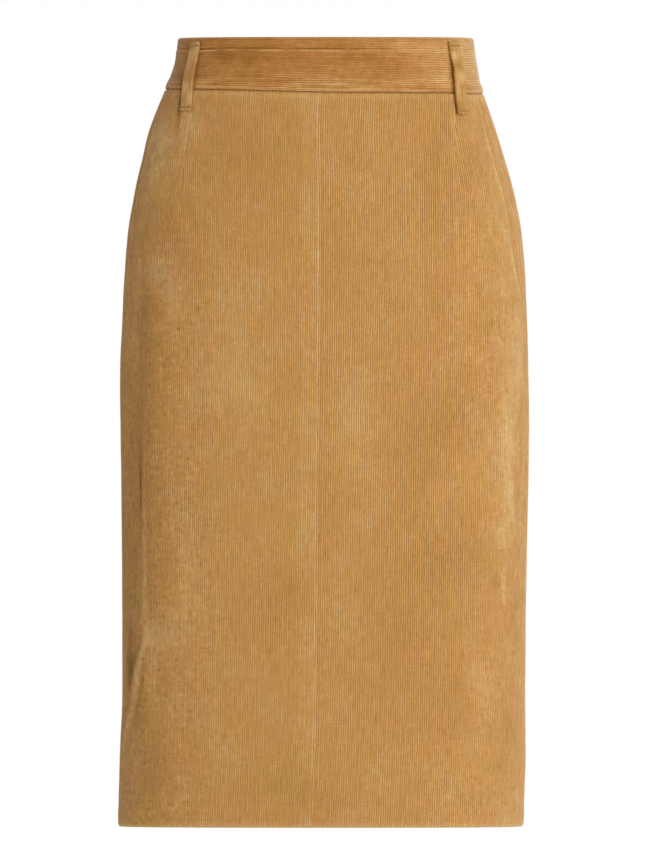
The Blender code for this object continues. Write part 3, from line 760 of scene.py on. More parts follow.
def cotton_corduroy(name, light, plain, dark, furrow):
    """Corduroy from swatches of its pile, brushed to the light, plain and away from it, and of its furrows,
    whose darker swatch is painted shade.
    """
    material, shader = new_material(name)
    node = partial(add, material)
    place = node("SeparateXYZ", {0: node("Attribute", attribute_name="cloth").outputs["Vector"]})
    state = node("SeparateXYZ", {0: node("Attribute", attribute_name="pile").outputs["Vector"]})
    rib, along, piece = place.outputs
    brushing_and_shading, clear, ruffled = state.outputs

    def grain(ribs_wide, long, detail, shift):
        """Noise whose grains are so many ribs wide and so many metres long, about 0 on average."""
        at = node("CombineXYZ", {
            0: node("Math", {0: rib, 1: ribs_wide}, operation="DIVIDE"),
            1: node("Math", {0: along, 1: long}, operation="DIVIDE"),
            2: node("Math", {0: piece, 1: shift}, operation="ADD"),
        })
        noise = node("TexNoise", {"Vector": at, "Scale": 1.0, "Detail": detail})
        return node("Math", {0: noise, 1: 0.5}, operation="SUBTRACT")

    def weigh(start, *pairs):
        """start plus each grain times its weight."""
        for weight, value in pairs:
            start = node("Math", {0: value, 1: weight, 2: start}, operation="MULTIPLY_ADD")
        return start

    patches = grain(17.0, 0.040, 5.0, 2.0)       # as large as a hand, with smaller ones inside
    blotches = grain(3.2, 0.0065, 3.0, 5.0)
    streaks = grain(0.8, 0.014, 2.0, 8.0)        # along one rib
    flecks = grain(0.75, 0.0017, 2.0, 11.0)      # a tuft at a time
    fibres = grain(0.32, 0.0006, 2.0, 14.0)
    tufts = grain(2.3, 0.0044, 3.5, 17.0)        # a few tufts that stand askew together
    undertone = grain(24.0, 0.050, 4.0, 23.0)    # the dye takes a little redder or yellower
    wander = grain(5.0, 0.018, 1.0, 29.0)        # a rib is never cut quite straight

    # Pile that is brushed to the light is pale, and pile that is brushed away from it dark. The tone that
    # sets this also carries the pieces' painted highlights and painted shade.
    tone = weigh(0.0, (1.0, brushing_and_shading), (1.9, patches), (1.1, blotches))
    away = node("Math", {0: tone, 1: -1.0}, operation="MULTIPLY")
    pale = node("Mix", {0: tone, 6: linear(plain), 7: linear(light)}, data_type="RGBA").outputs[2]
    pile = node("Mix", {0: away, 6: pale, 7: linear(dark)}, data_type="RGBA").outputs[2]

    # Across a rib the colour darkens from its crest into the furrow, a painted shade of the light lost there,
    # and less so where it is rubbed.
    turns = node("Math", {0: rib, 1: wander}, operation="ADD")
    crest = node("Math", {0: node("Math", {0: turns, 1: math.pi}, operation="MULTIPLY")}, operation="SINE")
    hump = node("Math", {0: crest}, operation="ABSOLUTE")
    hollow = node("Math", {0: 1.0, 1: hump}, operation="SUBTRACT")
    depth = node("Math", {0: hollow, 1: 0.8}, operation="POWER")
    depth = node("Math", {0: depth, 1: MEAN_DEPTH}, operation="SUBTRACT")
    depth = node("Math", {0: depth, 1: clear, 2: MEAN_DEPTH}, operation="MULTIPLY_ADD")
    uneven = weigh(0.62, (0.8, streaks), (0.8, patches))
    shade = node("Math", {0: depth, 1: uneven}, operation="MULTIPLY")
    ribbed = node("Mix", {0: shade, 6: pile, 7: linear(furrow)}, data_type="RGBA").outputs[2]

    # Where the cloth is ruffled, a few tufts stand askew and look paler or darker than those around them.
    few = node("Math", {0: node("Math", {0: tufts}, operation="ABSOLUTE"), 1: 0.07}, operation="SUBTRACT")
    few = node("Math", {0: few, 1: 0.0}, operation="MAXIMUM")
    askew = node("Math", {0: node("Math", {0: tufts}, operation="SIGN"), 1: few}, operation="MULTIPLY")
    askew = node("Math", {0: askew, 1: ruffled}, operation="MULTIPLY")

    # Each rib has its own tone, and below a tone of -1 the cloth is darkened further: painted shade, as deep
    # in a fold.
    number = node("Math", {0: node("Math", {0: rib}, operation="FLOOR"), 1: piece}, operation="ADD")
    own_shade = node("TexWhiteNoise", {"W": number}, noise_dimensions="1D").outputs["Value"]
    own_shade = node("Math", {0: own_shade, 1: 0.5}, operation="SUBTRACT")
    own_shade = node("Math", {0: own_shade, 1: clear}, operation="MULTIPLY")
    # Painted shade of a fold, where the tone falls below -1.
    folded = node("Math", {0: brushing_and_shading, 1: 1.0}, operation="ADD")
    painted_fold_shade = node("Math", {0: folded, 1: 0.0}, operation="MINIMUM")
    shades = (0.03, own_shade), (0.025, crest), (0.68, streaks), (0.48, flecks)
    value = weigh(1.0, *shades, (2.0, askew), (0.35, painted_fold_shade))
    colour = node("HueSaturation", {
        "Color": ribbed,
        "Hue": node("Math", {0: undertone, 1: 0.018, 2: 0.5}, operation="MULTIPLY_ADD"),
        "Saturation": node("Math", {0: value, 1: -0.13, 2: 1.13}, operation="MULTIPLY_ADD"),
        "Value": value,
    }).outputs[0]
    fuzz = weigh(0.0, (0.5, fibres), (0.6, flecks))
    bump = node("Bump", {"Height": fuzz, "Strength": 0.4, "Distance": 0.0003})
    links = material.node_tree.links
    links.new(colour, shader.inputs["Base Color"])
    links.new(bump.outputs[0], shader.inputs["Normal"])
    shader.inputs["Roughness"].default_value = 0.95
    shader.inputs["Specular IOR Level"].default_value = 0.15
    shader.inputs["Sheen Weight"].default_value = 0.45
    shader.inputs["Sheen Roughness"].default_value = 0.40
    shader.inputs["Sheen Tint"].default_value = linear("#EADDC2")
    return material


# The last swatch of each is the furrow colour: painted shade of the light lost between the ribs.
PANEL_CORDUROY = cotton_corduroy("tan_cotton_corduroy", "#D0A86F", "#C08E52", "#AF8144", "#7F5722")
BAND_CORDUROY = cotton_corduroy("waistband_cotton_corduroy", "#D0A063", "#B47D42", "#956127", "#704418")

# %% [markdown]
# ### The wrong side
#
# The wrong side of corduroy is a plain, flat twill in the same dye, a little duller because no pile stands
# on it. Its yarns are 0.4 mm apart. They are drawn 1 mm apart so that they show at all.

# %% Twill back
def cotton_twill(name, yarn, shade, spacing=0.001):
    """A flat twill in two close shades of one colour, with its diagonal lines spacing apart."""
    material, shader = new_material(name)
    cloth = add(material, "Attribute", attribute_name="cloth")
    place = add(material, "SeparateXYZ", {0: cloth.outputs["Vector"]})
    rib, along = place.outputs["X"], place.outputs["Y"]
    across = add(material, "Math", {0: rib, 1: WALE / spacing}, operation="MULTIPLY").outputs[0]
    down = add(material, "Math", {0: along, 1: spacing}, operation="DIVIDE").outputs[0]
    slant = add(material, "Math", {0: across, 1: down}, operation="ADD").outputs[0]
    turns = add(material, "Math", {0: slant, 1: 2 * math.pi}, operation="MULTIPLY").outputs[0]
    wave = add(material, "Math", {0: turns}, operation="SINE").outputs[0]
    share = add(material, "MapRange", {"Value": wave, 1: -1.0, 2: 1.0}).outputs[0]
    at = add(material, "VectorMath", {0: cloth.outputs["Vector"], 1: (0.12, 60.0, 1.0)}, operation="MULTIPLY")
    uneven = add(material, "TexNoise", {"Vector": at.outputs[0], "Scale": 1.0, "Detail": 4.0}).outputs["Fac"]
    value = add(material, "MapRange", {"Value": uneven, 1: 0.3, 2: 0.7, 3: 0.90, 4: 1.08}).outputs[0]
    lines = add(material, "Mix", {0: share, 6: linear(shade), 7: linear(yarn)}, data_type="RGBA").outputs[2]
    colour = add(material, "HueSaturation", {"Color": lines, "Value": value}).outputs[0]
    bump = add(material, "Bump", {"Height": share, "Strength": 0.25, "Distance": 0.0001})
    material.node_tree.links.new(colour, shader.inputs["Base Color"])
    material.node_tree.links.new(bump.outputs[0], shader.inputs["Normal"])
    shader.inputs["Roughness"].default_value = 0.9
    shader.inputs["Specular IOR Level"].default_value = 0.2
    return material


TWILL_BACK = cotton_twill("corduroy_twill_back", "#B58A54", "#9C7340")
ZIP_TAPE = cotton_twill("polyester_zip_tape", "#B0854F", "#95693A", spacing=0.0008)

# %% [markdown]
# ### Thread, coil and painted metal
#
# Thread is spun polyester: a smooth strand with a soft gloss, whose plies wind round it. The zip's teeth
# are a coil of nylon, which is glossier and a little see-through, so its edges look paler. The slider and
# pull are cast zinc, painted to match the cloth: the paint is smooth and satin, and worn paler along its
# edges.

# %% Small materials
def polyester_thread(name, swatch):
    """Spun thread: close shades of one colour that change every few millimetres."""
    material, shader = new_material(name)
    place = add(material, "TexCoord").outputs["Object"]
    plies = add(material, "TexNoise", {"Vector": place, "Scale": 1400.0, "Detail": 2.0}).outputs["Fac"]
    value = add(material, "MapRange", {"Value": plies, 1: 0.3, 2: 0.7, 3: 0.82, 4: 1.12}).outputs[0]
    colour = add(material, "HueSaturation", {"Color": linear(swatch), "Value": value}).outputs[0]
    bump = add(material, "Bump", {"Height": plies, "Strength": 0.3, "Distance": 0.0001})
    material.node_tree.links.new(colour, shader.inputs["Base Color"])
    material.node_tree.links.new(bump.outputs[0], shader.inputs["Normal"])
    shader.inputs["Roughness"].default_value = 0.6
    shader.inputs["Sheen Weight"].default_value = 0.2
    return material


def nylon_coil(name, swatch):
    """Moulded nylon: smooth, semi-glossy, with soft mottling from its dye."""
    material, shader = new_material(name)
    place = add(material, "TexCoord").outputs["Object"]
    dye = add(material, "TexNoise", {"Vector": place, "Scale": 220.0, "Detail": 3.0}).outputs["Fac"]
    value = add(material, "MapRange", {"Value": dye, 1: 0.3, 2: 0.7, 3: 0.9, 4: 1.1}).outputs[0]
    colour = add(material, "HueSaturation", {"Color": linear(swatch), "Value": value}).outputs[0]
    material.node_tree.links.new(colour, shader.inputs["Base Color"])
    shader.inputs["Roughness"].default_value = 0.35
    shader.inputs["IOR"].default_value = 1.53
    return material


def painted_zinc(name, paint, worn):
    """Satin paint on cast zinc, paler where edges have been rubbed."""
    material, shader = new_material(name)
    place = add(material, "TexCoord").outputs["Object"]
    edges = add(material, "NewGeometry").outputs["Pointiness"]
    rubbed = add(material, "TexNoise", {"Vector": place, "Scale": 900.0, "Detail": 4.0}).outputs["Fac"]
    edge = add(material, "MapRange", {"Value": edges, 1: 0.52, 2: 0.60}).outputs[0]
    share = add(material, "Math", {0: edge, 1: rubbed}, operation="MULTIPLY").outputs[0]
    colour = add(material, "Mix", {0: share, 6: linear(paint), 7: linear(worn)}, data_type="RGBA").outputs[2]
    gloss = add(material, "MapRange", {"Value": rubbed, 1: 0.3, 2: 0.7, 3: 0.30, 4: 0.42}).outputs[0]
    material.node_tree.links.new(colour, shader.inputs["Base Color"])
    material.node_tree.links.new(gloss, shader.inputs["Roughness"])
    shader.inputs["Metallic"].default_value = 0.35
    return material


TAN_THREAD = polyester_thread("polyester_thread", "#B27C3C")
TAN_COIL = nylon_coil("nylon_zip_coil", "#B58448")
TAN_PAINT = painted_zinc("painted_zinc", "#A8743C", "#D9C29A")

# %% [markdown]
# ## Cutting a panel
#
# On the cutting table a panel is flat and its ribs run straight down it. Three things shape it to the body.
# Its side edge curves, so ribs run off it. Its dart is a wedge that is sewn shut, so the ribs beyond it
# lean in towards it at the waist. And a pocket mouth bows its side edge forwards. So a panel is laid out in
# columns that follow the ribs, and in each row the columns that fall in the dart's wedge, or past an edge,
# are gathered there.

# %% Darts, pocket mouths and edges
# A dart's sewn line runs from top to tip, distances from the centre; intake is the cloth it takes in at the
# waist.
Dart = namedtuple("Dart", "top tip intake length")
FRONT_DARTS = {1: Dart(0.1215, 0.1183, 0.012, 0.090), -1: Dart(0.1095, 0.1228, 0.012, 0.090)}
BACK_DARTS = {1: Dart(0.105, 0.118, 0.018, 0.125), -1: Dart(0.105, 0.118, 0.018, 0.125)}
Bow = namedtuple("Bow", "along share")
POCKET_BOW = (
    Bow(0.00, 0.00), Bow(0.10, 0.50), Bow(0.28, 0.96), Bow(0.45, 1.00),
    Bow(0.70, 0.88), Bow(0.85, 0.72), Bow(0.95, 0.42), Bow(1.00, 0.00),
)
POCKET_LENGTH = 0.177
POCKET_GAPE = {1: 0.016, -1: 0.005}
ZIP_END = 0.226
ZIP_HALF_GAP = 0.0009
SLIT_HEIGHT = 0.150
SLIT_HALF_GAP = 0.0040
DART_STITCH = 0.0002


def pocket_bow(side, drop):
    """How far a pocket mouth's front edge stands in front of the side seam."""
    along = (drop - BAND_HEIGHT) / POCKET_LENGTH
    inside = (along > 0) & (along < 1)
    return np.where(inside, POCKET_GAPE[side] * np.maximum(smooth(POCKET_BOW, "share", along), 0), 0.0)


def front_limits(side, drop):
    """Distances of a front panel's two edges from the centre front."""
    return 0.0 * drop, side_seam(drop) - pocket_bow(side, drop)


def back_limits(side, drop):
    """Distances of a back panel's two edges from the centre back: zip, then seam, then slit."""
    slit_top, fully_open = LENGTH - SLIT_HEIGHT, LENGTH + 0.05
    opening = SLIT_HALF_GAP * ramp(drop, slit_top, fully_open) / ramp(LENGTH, slit_top, fully_open)
    zipped = ZIP_HALF_GAP * (1 - ramp(drop, ZIP_END - 0.004, ZIP_END + 0.004))
    return np.maximum(opening, zipped), half_round(drop) - side_seam(drop)


def dart_open(dart, drop):
    """How open a dart's wedge is cut at this drop: 1 at the waist, 0 below its tip."""
    return np.clip(1 - (drop - BAND_HEIGHT) / dart.length, 0, 1)


# %% Laying out a panel's points
Layout = namedtuple("Layout", "ids across distance drop s from_centre from_side from_dart dart_open")


def lay_out(side, columns, shares, dart, limits, from_back):
    """Gathers the columns of each row between the panel's edges and out of its dart."""
    rows = []
    for r, share in enumerate(shares):
        level = BAND_HEIGHT + (LENGTH - BAND_HEIGHT) * share

        def drop_at(distance):
            s = half_round(level) - distance if from_back else distance
            top = seam_drop(side, s)
            return top + (LENGTH - top) * share

        drop = drop_at(columns)
        opened = dart_open(dart, drop)
        taken = opened * dart.intake
        line = dart.tip + (dart.top - dart.tip) * opened
        beyond, before = np.maximum(columns - taken, line), np.minimum(columns, line)
        distance = np.where(columns > line + taken / 2, beyond, before)
        across, keeper = columns.copy(), np.arange(len(columns))
        inside = np.flatnonzero((columns > line) & (columns < line + taken))
        if len(inside) > 1:
            for leg, way in ((inside[: len(inside) // 2], 0), (inside[len(inside) // 2 :], 1)):
                keep = leg[0] if way == 0 else leg[-1]
                keeper[leg] = keep
                distance[leg] = line[keep] + (way - 0.5) * DART_STITCH
                across[leg] = line[keep] + way * taken[keep]
        low = float(limits(side, drop_at(limits(side, level)[0]))[0])
        high = float(limits(side, drop_at(limits(side, level)[1]))[1])
        under = np.flatnonzero(distance <= low)
        over = np.flatnonzero(distance >= high)
        for gone, keep, edge in ((under, under[-1:], low), (over, over[:1], high)):
            if len(gone):
                keeper[gone] = keep[0]
                distance[gone] = edge
                drop[gone] = drop_at(edge)
                across[gone] = edge + (dart.intake * dart_open(dart, drop_at(edge)) if edge > dart.tip else 0)
        distance, drop, across, opened, line = (v[keeper] for v in (distance, drop, across, opened, line))
        s = half_round(drop) - distance if from_back else distance
        ids = keeper + r * len(columns)
        from_edges = distance - low, high - distance, distance - line
        rows.append((ids, across, distance, drop, s, *from_edges, opened))
    return Layout(*(np.array(column) for column in zip(*rows)))


# %% [markdown]
# Where two pieces are sewn together the seam pulls them in, so each edge rolls down into a furrow, and it
# puckers a little along the stitching. A pressed dart is the same with a softer edge. Inside, the seam
# allowances lie open and make the wall thicker beside each seam, and the hem is turned up once.

# %% Relief of a panel
CENTRE_SEAM = {"front": 0.00014, "back": 0.0010}     # how deep the centre seams pull the cloth in


def furrow(distance, depth, width):
    """A rolled-in edge or a stitched line, depth deep at distance 0."""
    return -depth * bell(distance, width)


def in_mouth(side, drop):
    """1 along a pocket mouth and 0 above and below it."""
    return pocket_bow(side, drop) / POCKET_GAPE[side]


def panel_relief(side, part, seed, from_back):
    """How far the right side of a panel stands outside the form."""
    signed = side * part.s
    pucker = hills(seed + 1, part.from_centre * 0, part.drop, 1.0, 0.008)
    side_pucker = hills(seed + 2, part.from_side * 0, part.drop, 1.0, 0.010)
    sewn = ramp(part.dart_open, 0.0, 0.12)
    mouth = 0.0 if from_back else in_mouth(side, part.drop)
    centre_seam = CENTRE_SEAM["back" if from_back else "front"] * (1 - 0.6 * ramp(part.drop, 0.20, 0.45))
    edges = (
        furrow(part.from_centre, centre_seam, 0.0009) * (1 + 0.30 * pucker)
        + furrow(part.from_side, 0.0011, 0.0012) * (1 + 0.30 * side_pucker) * (1 - 0.6 * mouth)
        + furrow(part.from_dart, 0.0006, 0.0008) * sewn
        + furrow(part.drop - seam_drop(side, part.s), 0.0012, 0.0008)
        + furrow(LENGTH - part.drop, 0.0011, 0.0011)
        + 0.0006 * mouth * bell(part.from_side - 0.0026, 0.0022)
    )
    waves = (
        0.00022 * pucker * bell(part.from_centre, 0.007)
        + 0.00030 * side_pucker * bell(part.from_side, 0.009)
    )
    hem_up = 0.0190 + 0.0008 * hills(seed + 3, signed, part.drop * 0, 0.04, 1.0)
    hem_line = furrow(LENGTH - part.drop - hem_up, 0.00012, 0.0020)
    hem_puff = 0.0004 * bell(LENGTH - part.drop - 0.010, 0.008)
    return edges + waves + hem_line + hem_puff + hung(side, part.s, part.drop)


def panel_tone_and_painted_light(name, side, part, seed):
    """A panel's tone, paler above 0 and darker below 0: painted shade and painted highlights along its seams,
    dart, hem and pocket mouth, and the brushed patches.
    """
    dashes = 0.6 + 0.5 * hills(seed + 5, part.drop * 0, part.drop, 1.0, 0.0045)
    under_seam = part.drop - seam_drop(side, part.s)
    # Painted shade in a dark line at the waistband seam, and a painted highlight on the lip below it.
    tone = 0.4 * bell(under_seam - 0.0035, 0.0030) - 1.2 * bell(under_seam, 0.0009)
    # A painted highlight along the rolled hem edge.
    tone = tone + 1.2 * bell(LENGTH - part.drop, 0.0026)
    # Dashes of painted highlight and painted shade along the pressed dart.
    tone = tone + 1.3 * bell(part.from_dart, 0.0009) * ramp(part.dart_open, 0.0, 0.2) * (dashes - 0.3)
    if name.startswith("back"):
        # A painted highlight along the back's side seam edge, and painted shade along its centre seam.
        tone = tone + 0.6 * bell(part.from_side - 0.0006, 0.0010) * dashes
        tone = tone - 0.5 * bell(part.from_centre, 0.0008)
    else:
        # The pocket mouth's folded edge is paler: partly rubbed, partly a painted highlight where it catches
        # the light.
        folded = in_mouth(side, part.drop)
        rubbed = 0.85 + 0.65 * hills(seed + 6, part.drop * 0, part.drop, 1.0, 0.021)
        edge = bell(part.from_side - 0.0018, 0.0010 + 0.0014 * folded)
        tone = tone + (0.4 + 1.1 * folded) * edge * dashes * rubbed
    if name == "front_right":
        # Painted highlights on the edge of the centre front seam and of its allowance, and a paler strip over
        # the allowance where it catches the light.
        fading = 1 - 0.5 * ramp(part.drop, 0.20, 0.40)
        tone = tone + 0.65 * bell(part.from_centre - 0.0004, 0.0008) * (0.5 + 0.5 * dashes) * fading
        tone = tone + 0.50 * bell(part.from_centre - 0.0160, 0.0008) * dashes
        tone = tone + 0.22 * (1 - ramp(part.from_centre, 0.0150, 0.0170))
    if name == "front_left":
        # A painted highlight on the centre front seam's edge, with painted shade beside it.
        tone = tone + 0.80 * bell(part.from_centre - 0.0004, 0.0008) * (0.5 + 0.5 * dashes)
        tone = tone - 0.25 * bell(part.from_centre - 0.0030, 0.0014) * dashes
    return tone + brushed_and_shaded(side, part.s, part.drop)


def panel_wall(part):
    """Thickness of a panel: one layer, more over its seam allowance and two at the hem."""
    beside = 0.0007 * (1 - ramp(part.from_centre, SEAM_ALLOWANCE - 0.003, SEAM_ALLOWANCE))
    return CLOTH + beside + 0.0016 * (part.drop > LENGTH - HEM_DEPTH - 0.0004)


# %% [markdown]
# Where edges slant across the ribs, as in the darts and the pocket mouths, rows of points are 2 to 3 mm
# apart. Below them 5 or 6 mm is close enough for the creases. At the waist seam and the hem, where the
# cloth rolls over, rows are closer still. The back panels are wider, so theirs are the coarser of the two.

# %% A panel
NEAR_END = 0.190
NEAR_ROWS = {"front": 0.0022, "back": 0.0028}
FAR_ROWS = {"front": 0.0052, "back": 0.0061}
HEM_ROWS = np.array([0.0228, 0.0220, 0.0200, 0.0190, 0.0180, 0.0160, 0.0030, 0.0018, 0.0010, 0.0004, 0.0])
TOP_ROWS = np.array([0.0, 0.0004, 0.0010, 0.0018, 0.0030])


def row_shares(where):
    """Shares of the way down at which a front or a back panel has its rows."""
    reach = LENGTH - BAND_HEIGHT
    near = np.arange(0.0046, NEAR_END, NEAR_ROWS[where])
    far = np.arange(NEAR_END, reach - 0.006, FAR_ROWS[where])
    far = far[np.abs(reach - far - 0.0194) > 0.0038]
    return np.sort(np.concatenate([TOP_ROWS, near, far, reach - HEM_ROWS])) / reach


def panel(name, side, dart, limits, from_back, width, seed):
    """A skirt panel of corduroy. width is how wide it is cut, with its dart open."""
    shares = row_shares("back" if from_back else "front")
    count = int(width / WALE) + 2
    fine_columns = np.arange(count * WALE_COLUMNS + 1) * WALE / WALE_COLUMNS
    wide_columns = np.arange(count // 2 + 2) * 2 * WALE
    dense = lay_out(side, fine_columns, shares, dart, limits, from_back)
    coarse = lay_out(side, wide_columns, shares, dart, limits, from_back)
    clear = rib_clarity(side, dense.s, dense.drop)
    standing = (0.4 + 0.6 * clear) * (0.35 + 0.65 * ramp(dense.from_side, 0.0004, 0.0020))
    pile = ribs(dense.across, dense.drop, seed) * standing
    strip = 0.00045 * (1 - ramp(dense.from_centre, 0.0148, 0.0164)) * (name == "front_right")
    out = panel_relief(side, dense, seed, from_back) + pile + strip
    state = panel_tone_and_painted_light(name, side, dense, seed), clear, ruffling(side, dense.s, dense.drop)
    right = Sheet(dense.ids, on_form(side, dense.s, dense.drop, out), dense.across, dense.drop, *state)
    under = hung(side, coarse.s, coarse.drop) - panel_wall(coarse)
    wrong = Sheet(coarse.ids, on_form(side, coarse.s, coarse.drop, under), coarse.across, coarse.drop)
    piece = shell(name + "_corduroy", name, right, wrong, (PANEL_CORDUROY, TWILL_BACK))
    return piece


for hand, side, seed in (("left", 1, 20), ("right", -1, 40)):
    panel("front_" + hand, side, FRONT_DARTS[side], front_limits, False, 0.212, seed)
    panel("back_" + hand, side, BACK_DARTS[side], back_limits, True, 0.276, seed + 10)

# %% [markdown]
# ## Pocket facings
#
# Behind each pocket mouth lies a strip of the same corduroy, so that nothing else shows when the mouth
# gapes. It is level with the skirt at the side seam and one layer deeper under the front panel. It is laid
# out as a plain grid, because only the part in the mouth shows.

# %% Facings
FACING_REACH = 0.030
FACING_BELOW = 0.012
FACING_DEPTH = CLOTH + PIECE_GAP


def facing(name, side):
    """The strip behind one pocket mouth."""

    def sheet(columns, rows, thick):
        share = np.linspace(0, 1, rows)[:, None]
        place = np.linspace(0, 1, columns)[None, :]
        level = BAND_HEIGHT + share * (POCKET_LENGTH + FACING_BELOW)
        seam = side_seam(level)
        bow = pocket_bow(side, level)
        start = seam - bow - FACING_REACH
        s = start + (seam - start) * place
        drop = level + (seam_drop(side, s) - BAND_HEIGHT) * (1 - share)
        rise = ramp(s - (seam - bow), 0.0, np.clip(bow, 0.0012, 0.0060))
        out = -FACING_DEPTH * (1 - rise) - thick
        if not thick:
            out = out + 0.5 * ribs(s, drop, 60) + furrow(seam - s, 0.0010, 0.0012)
        return Sheet(plain_ids(rows, columns), on_form(side, s, drop, out), s, drop, 0.0, 0.4, 0.5)

    width = FACING_REACH + POCKET_GAPE[side]
    dense = sheet(int(width / WALE * 6) + 1, 48, 0.0)
    piece = shell(name + "_corduroy", name, dense, sheet(12, 48, CLOTH), (PANEL_CORDUROY, TWILL_BACK))


facing("pocket_facing_left", 1)
facing("pocket_facing_right", -1)

# %% [markdown]
# ## The waistband
#
# The waistband is cut the other way of the cloth, so its ribs run round the waist. It is two layers with a
# stiffening between. Two lines are pressed into it: one where its top edge was folded and stitched, and one
# near its seam, where the allowances inside end. Below that second line the band is puffed out a little.
# Its rows of points follow the ribs here, and its columns only have to follow the curve.

# %% Waistband
BAND_COLUMNS = 320
TOP_LINE = 0.0097                 # the upper pressed line, below the top edge
LOWER_LINE = 0.0112               # the lower one, above the seam


def smoothed_out(signed):
    """How strongly the pressed lines show: in full on the wearer's right, and by half on the left."""
    return 1 - 0.5 * ramp(signed, -0.01, 0.07)


def band_relief(side, s, drop):
    """How far the right side of the waistband stands outside the form."""
    signed = side * s
    from_seam = seam_drop(side, s) - drop
    top_line = drop - TOP_LINE - 0.0006 * hills(70, signed, drop * 0, 0.035, 1.0)
    pressed = (0.75 + 0.35 * hills(71, signed, drop * 0, 0.021, 1.0)) * smoothed_out(signed)
    lower_line = from_seam - LOWER_LINE - 0.0005 * hills(72, signed, drop * 0, 0.030, 1.0)
    fresh = 0.45 + 0.55 * ramp(-signed, 0.00, 0.10)
    return (
        furrow(drop, 0.0012, 0.0010)
        + furrow(from_seam, 0.0014, 0.0008)
        + (furrow(top_line, 0.00065, 0.0008) + 0.00040 * bell(top_line - 0.0018, 0.0012)) * pressed
        + furrow(lower_line, 0.00045, 0.0010) * fresh
        + 0.00060 * bell(from_seam - 0.0055, 0.0040)
        + 0.00050 * hills(73, signed, drop, 0.045, 0.020)
        + 0.00018 * hills(74, signed, drop, 0.011, 0.006)
        + furrow(half_round(drop) - ZIP_HALF_GAP - s, 0.0011, 0.0012)
        + 0.0006 * bell(signed - 0.1350, 0.0035) * ramp(drop, 0.028, 0.042)
    )


def band_tone_and_painted_light(side, s, drop):
    """The band's tone: painted shade in its upper pressed line and at its seam, painted highlights on the
    lips beside them and on its top edge, paler in its lower part, random unevenness and the patches.
    """
    signed = side * s
    from_seam = seam_drop(side, s) - drop
    top_line = drop - TOP_LINE - 0.0006 * hills(70, signed, drop * 0, 0.035, 1.0)
    dashes = (0.6 + 0.6 * hills(76, signed, drop, 0.006, 0.02)) * smoothed_out(signed)
    lower = 1 - ramp(from_seam, 0.009, 0.014)
    return (
        # Painted shade in the upper pressed line, and a painted highlight on the lip below it.
        (1.5 * bell(top_line - 0.0016, 0.0007) - 1.5 * bell(top_line, 0.0007)) * dashes
        + 0.6 * lower * (0.5 + 0.9 * hills(77, signed, drop, 0.022, 0.0022))
        # A painted highlight on the lip above the seam, and painted shade in the seam.
        + 0.9 * bell(from_seam - 0.0018, 0.0008) * (0.6 + 0.6 * hills(79, signed, drop * 0, 0.018, 1.0))
        - 1.1 * bell(from_seam, 0.0007)
        + 0.30 * hills(78, signed, drop, 0.026, 0.0045) * smoothed_out(signed)
        # A painted highlight along the rolled top edge.
        + 0.7 * bell(drop, 0.0009)
        + brushed_and_shaded(side, s, drop)
    )


def band_clarity(side, s, drop):
    """The band's ribs show in its lower part and fade above, most of all in the middle of the front."""
    lower = 1 - ramp(seam_drop(side, s) - drop, 0.010, 0.014)
    crushed = 1 - 0.4 * bell(side * s - 0.02, 0.03)
    uneven = 1 + 0.35 * hills(82, side * s, drop, 0.03, 0.01)
    return (0.74 + 0.26 * lower) * crushed * uneven


def band_sheet(rows, columns, right_side):
    """One side of the waistband, from the zip round the front and back to the zip."""
    share = np.linspace(0, 1, rows)[:, None]
    place = np.linspace(-1, 1, columns)[None, :]
    side = np.where(place >= 0, 1, -1) + 0 * share
    s = np.abs(place) * (half_round(BAND_HEIGHT * share) - ZIP_HALF_GAP)
    drop = share * seam_drop(side, s)
    across = share * BAND_HEIGHT + 0 * s
    along = place * half_round(BAND_HEIGHT) + 0 * share
    ids = plain_ids(rows, columns)
    if not right_side:
        out = 0.0003 * hills(73, side * s, drop, 0.045, 0.020) - BAND_WALL
        return Sheet(ids, on_form(side, s, drop, out), across, along)
    clear = band_clarity(side, s, drop)
    out = band_relief(side, s, drop) + (0.35 + 0.65 * clear) * ribs(across, along, 75)
    return Sheet(ids, on_form(side, s, drop, out), across, along, band_tone_and_painted_light(side, s, drop), clear, 0.35)


dense = band_sheet(int(BAND_HEIGHT / WALE) * WALE_COLUMNS + 1, BAND_COLUMNS, True)
coarse = band_sheet(8, BAND_COLUMNS // 2, False)
both_sides = BAND_CORDUROY, BAND_CORDUROY
band = shell("waistband_corduroy", "waistband", dense, coarse, both_sides, ribs_down=False)

# %% [markdown]
# ## Belt loops
#
# A belt loop is a narrow strap of the same corduroy, folded in three so that its long edges are hidden. Its
# ends are tucked under and sewn down through all the layers with a bar tack, a bar of very close stitches.
# Between them it stands off the band, so that a belt fits behind it.

# %% Loops
LOOP_WIDTH = 0.0130
LOOP_THICK = 0.0019
LOOP_ARCS = {                     # distance of its middle from the centre, at its top and its foot
    ("front", 1): (0.1175, 0.1280), ("front", -1): (0.1160, 0.1183),
    ("back", 1): (0.1120, 0.1180), ("back", -1): (0.1120, 0.1180),
}
LOOP_TOP = 0.0035
LOOP_BELOW_SEAM = 0.0185
LOOP_STAND = 0.0022
LOOP_TACK = 0.006
TACK_INSET = 0.0034               # the bar of stitches lies this far from the loop's end
LOOP_LIGHT = 0.4                  # how much paler one front loop lies than the other
# Painted shadow: LOOP_SHADE darkens the long edges where the loop stands off the band.
LOOP_SHADE = {                    # how much darker its long edges are, the left and the right one to the eye
    ("front", 1): (2.6, 0.0), ("front", -1): (2.3, 1.9),
    ("back", 1): (1.8, 0.3), ("back", -1): (1.8, 0.3),
}


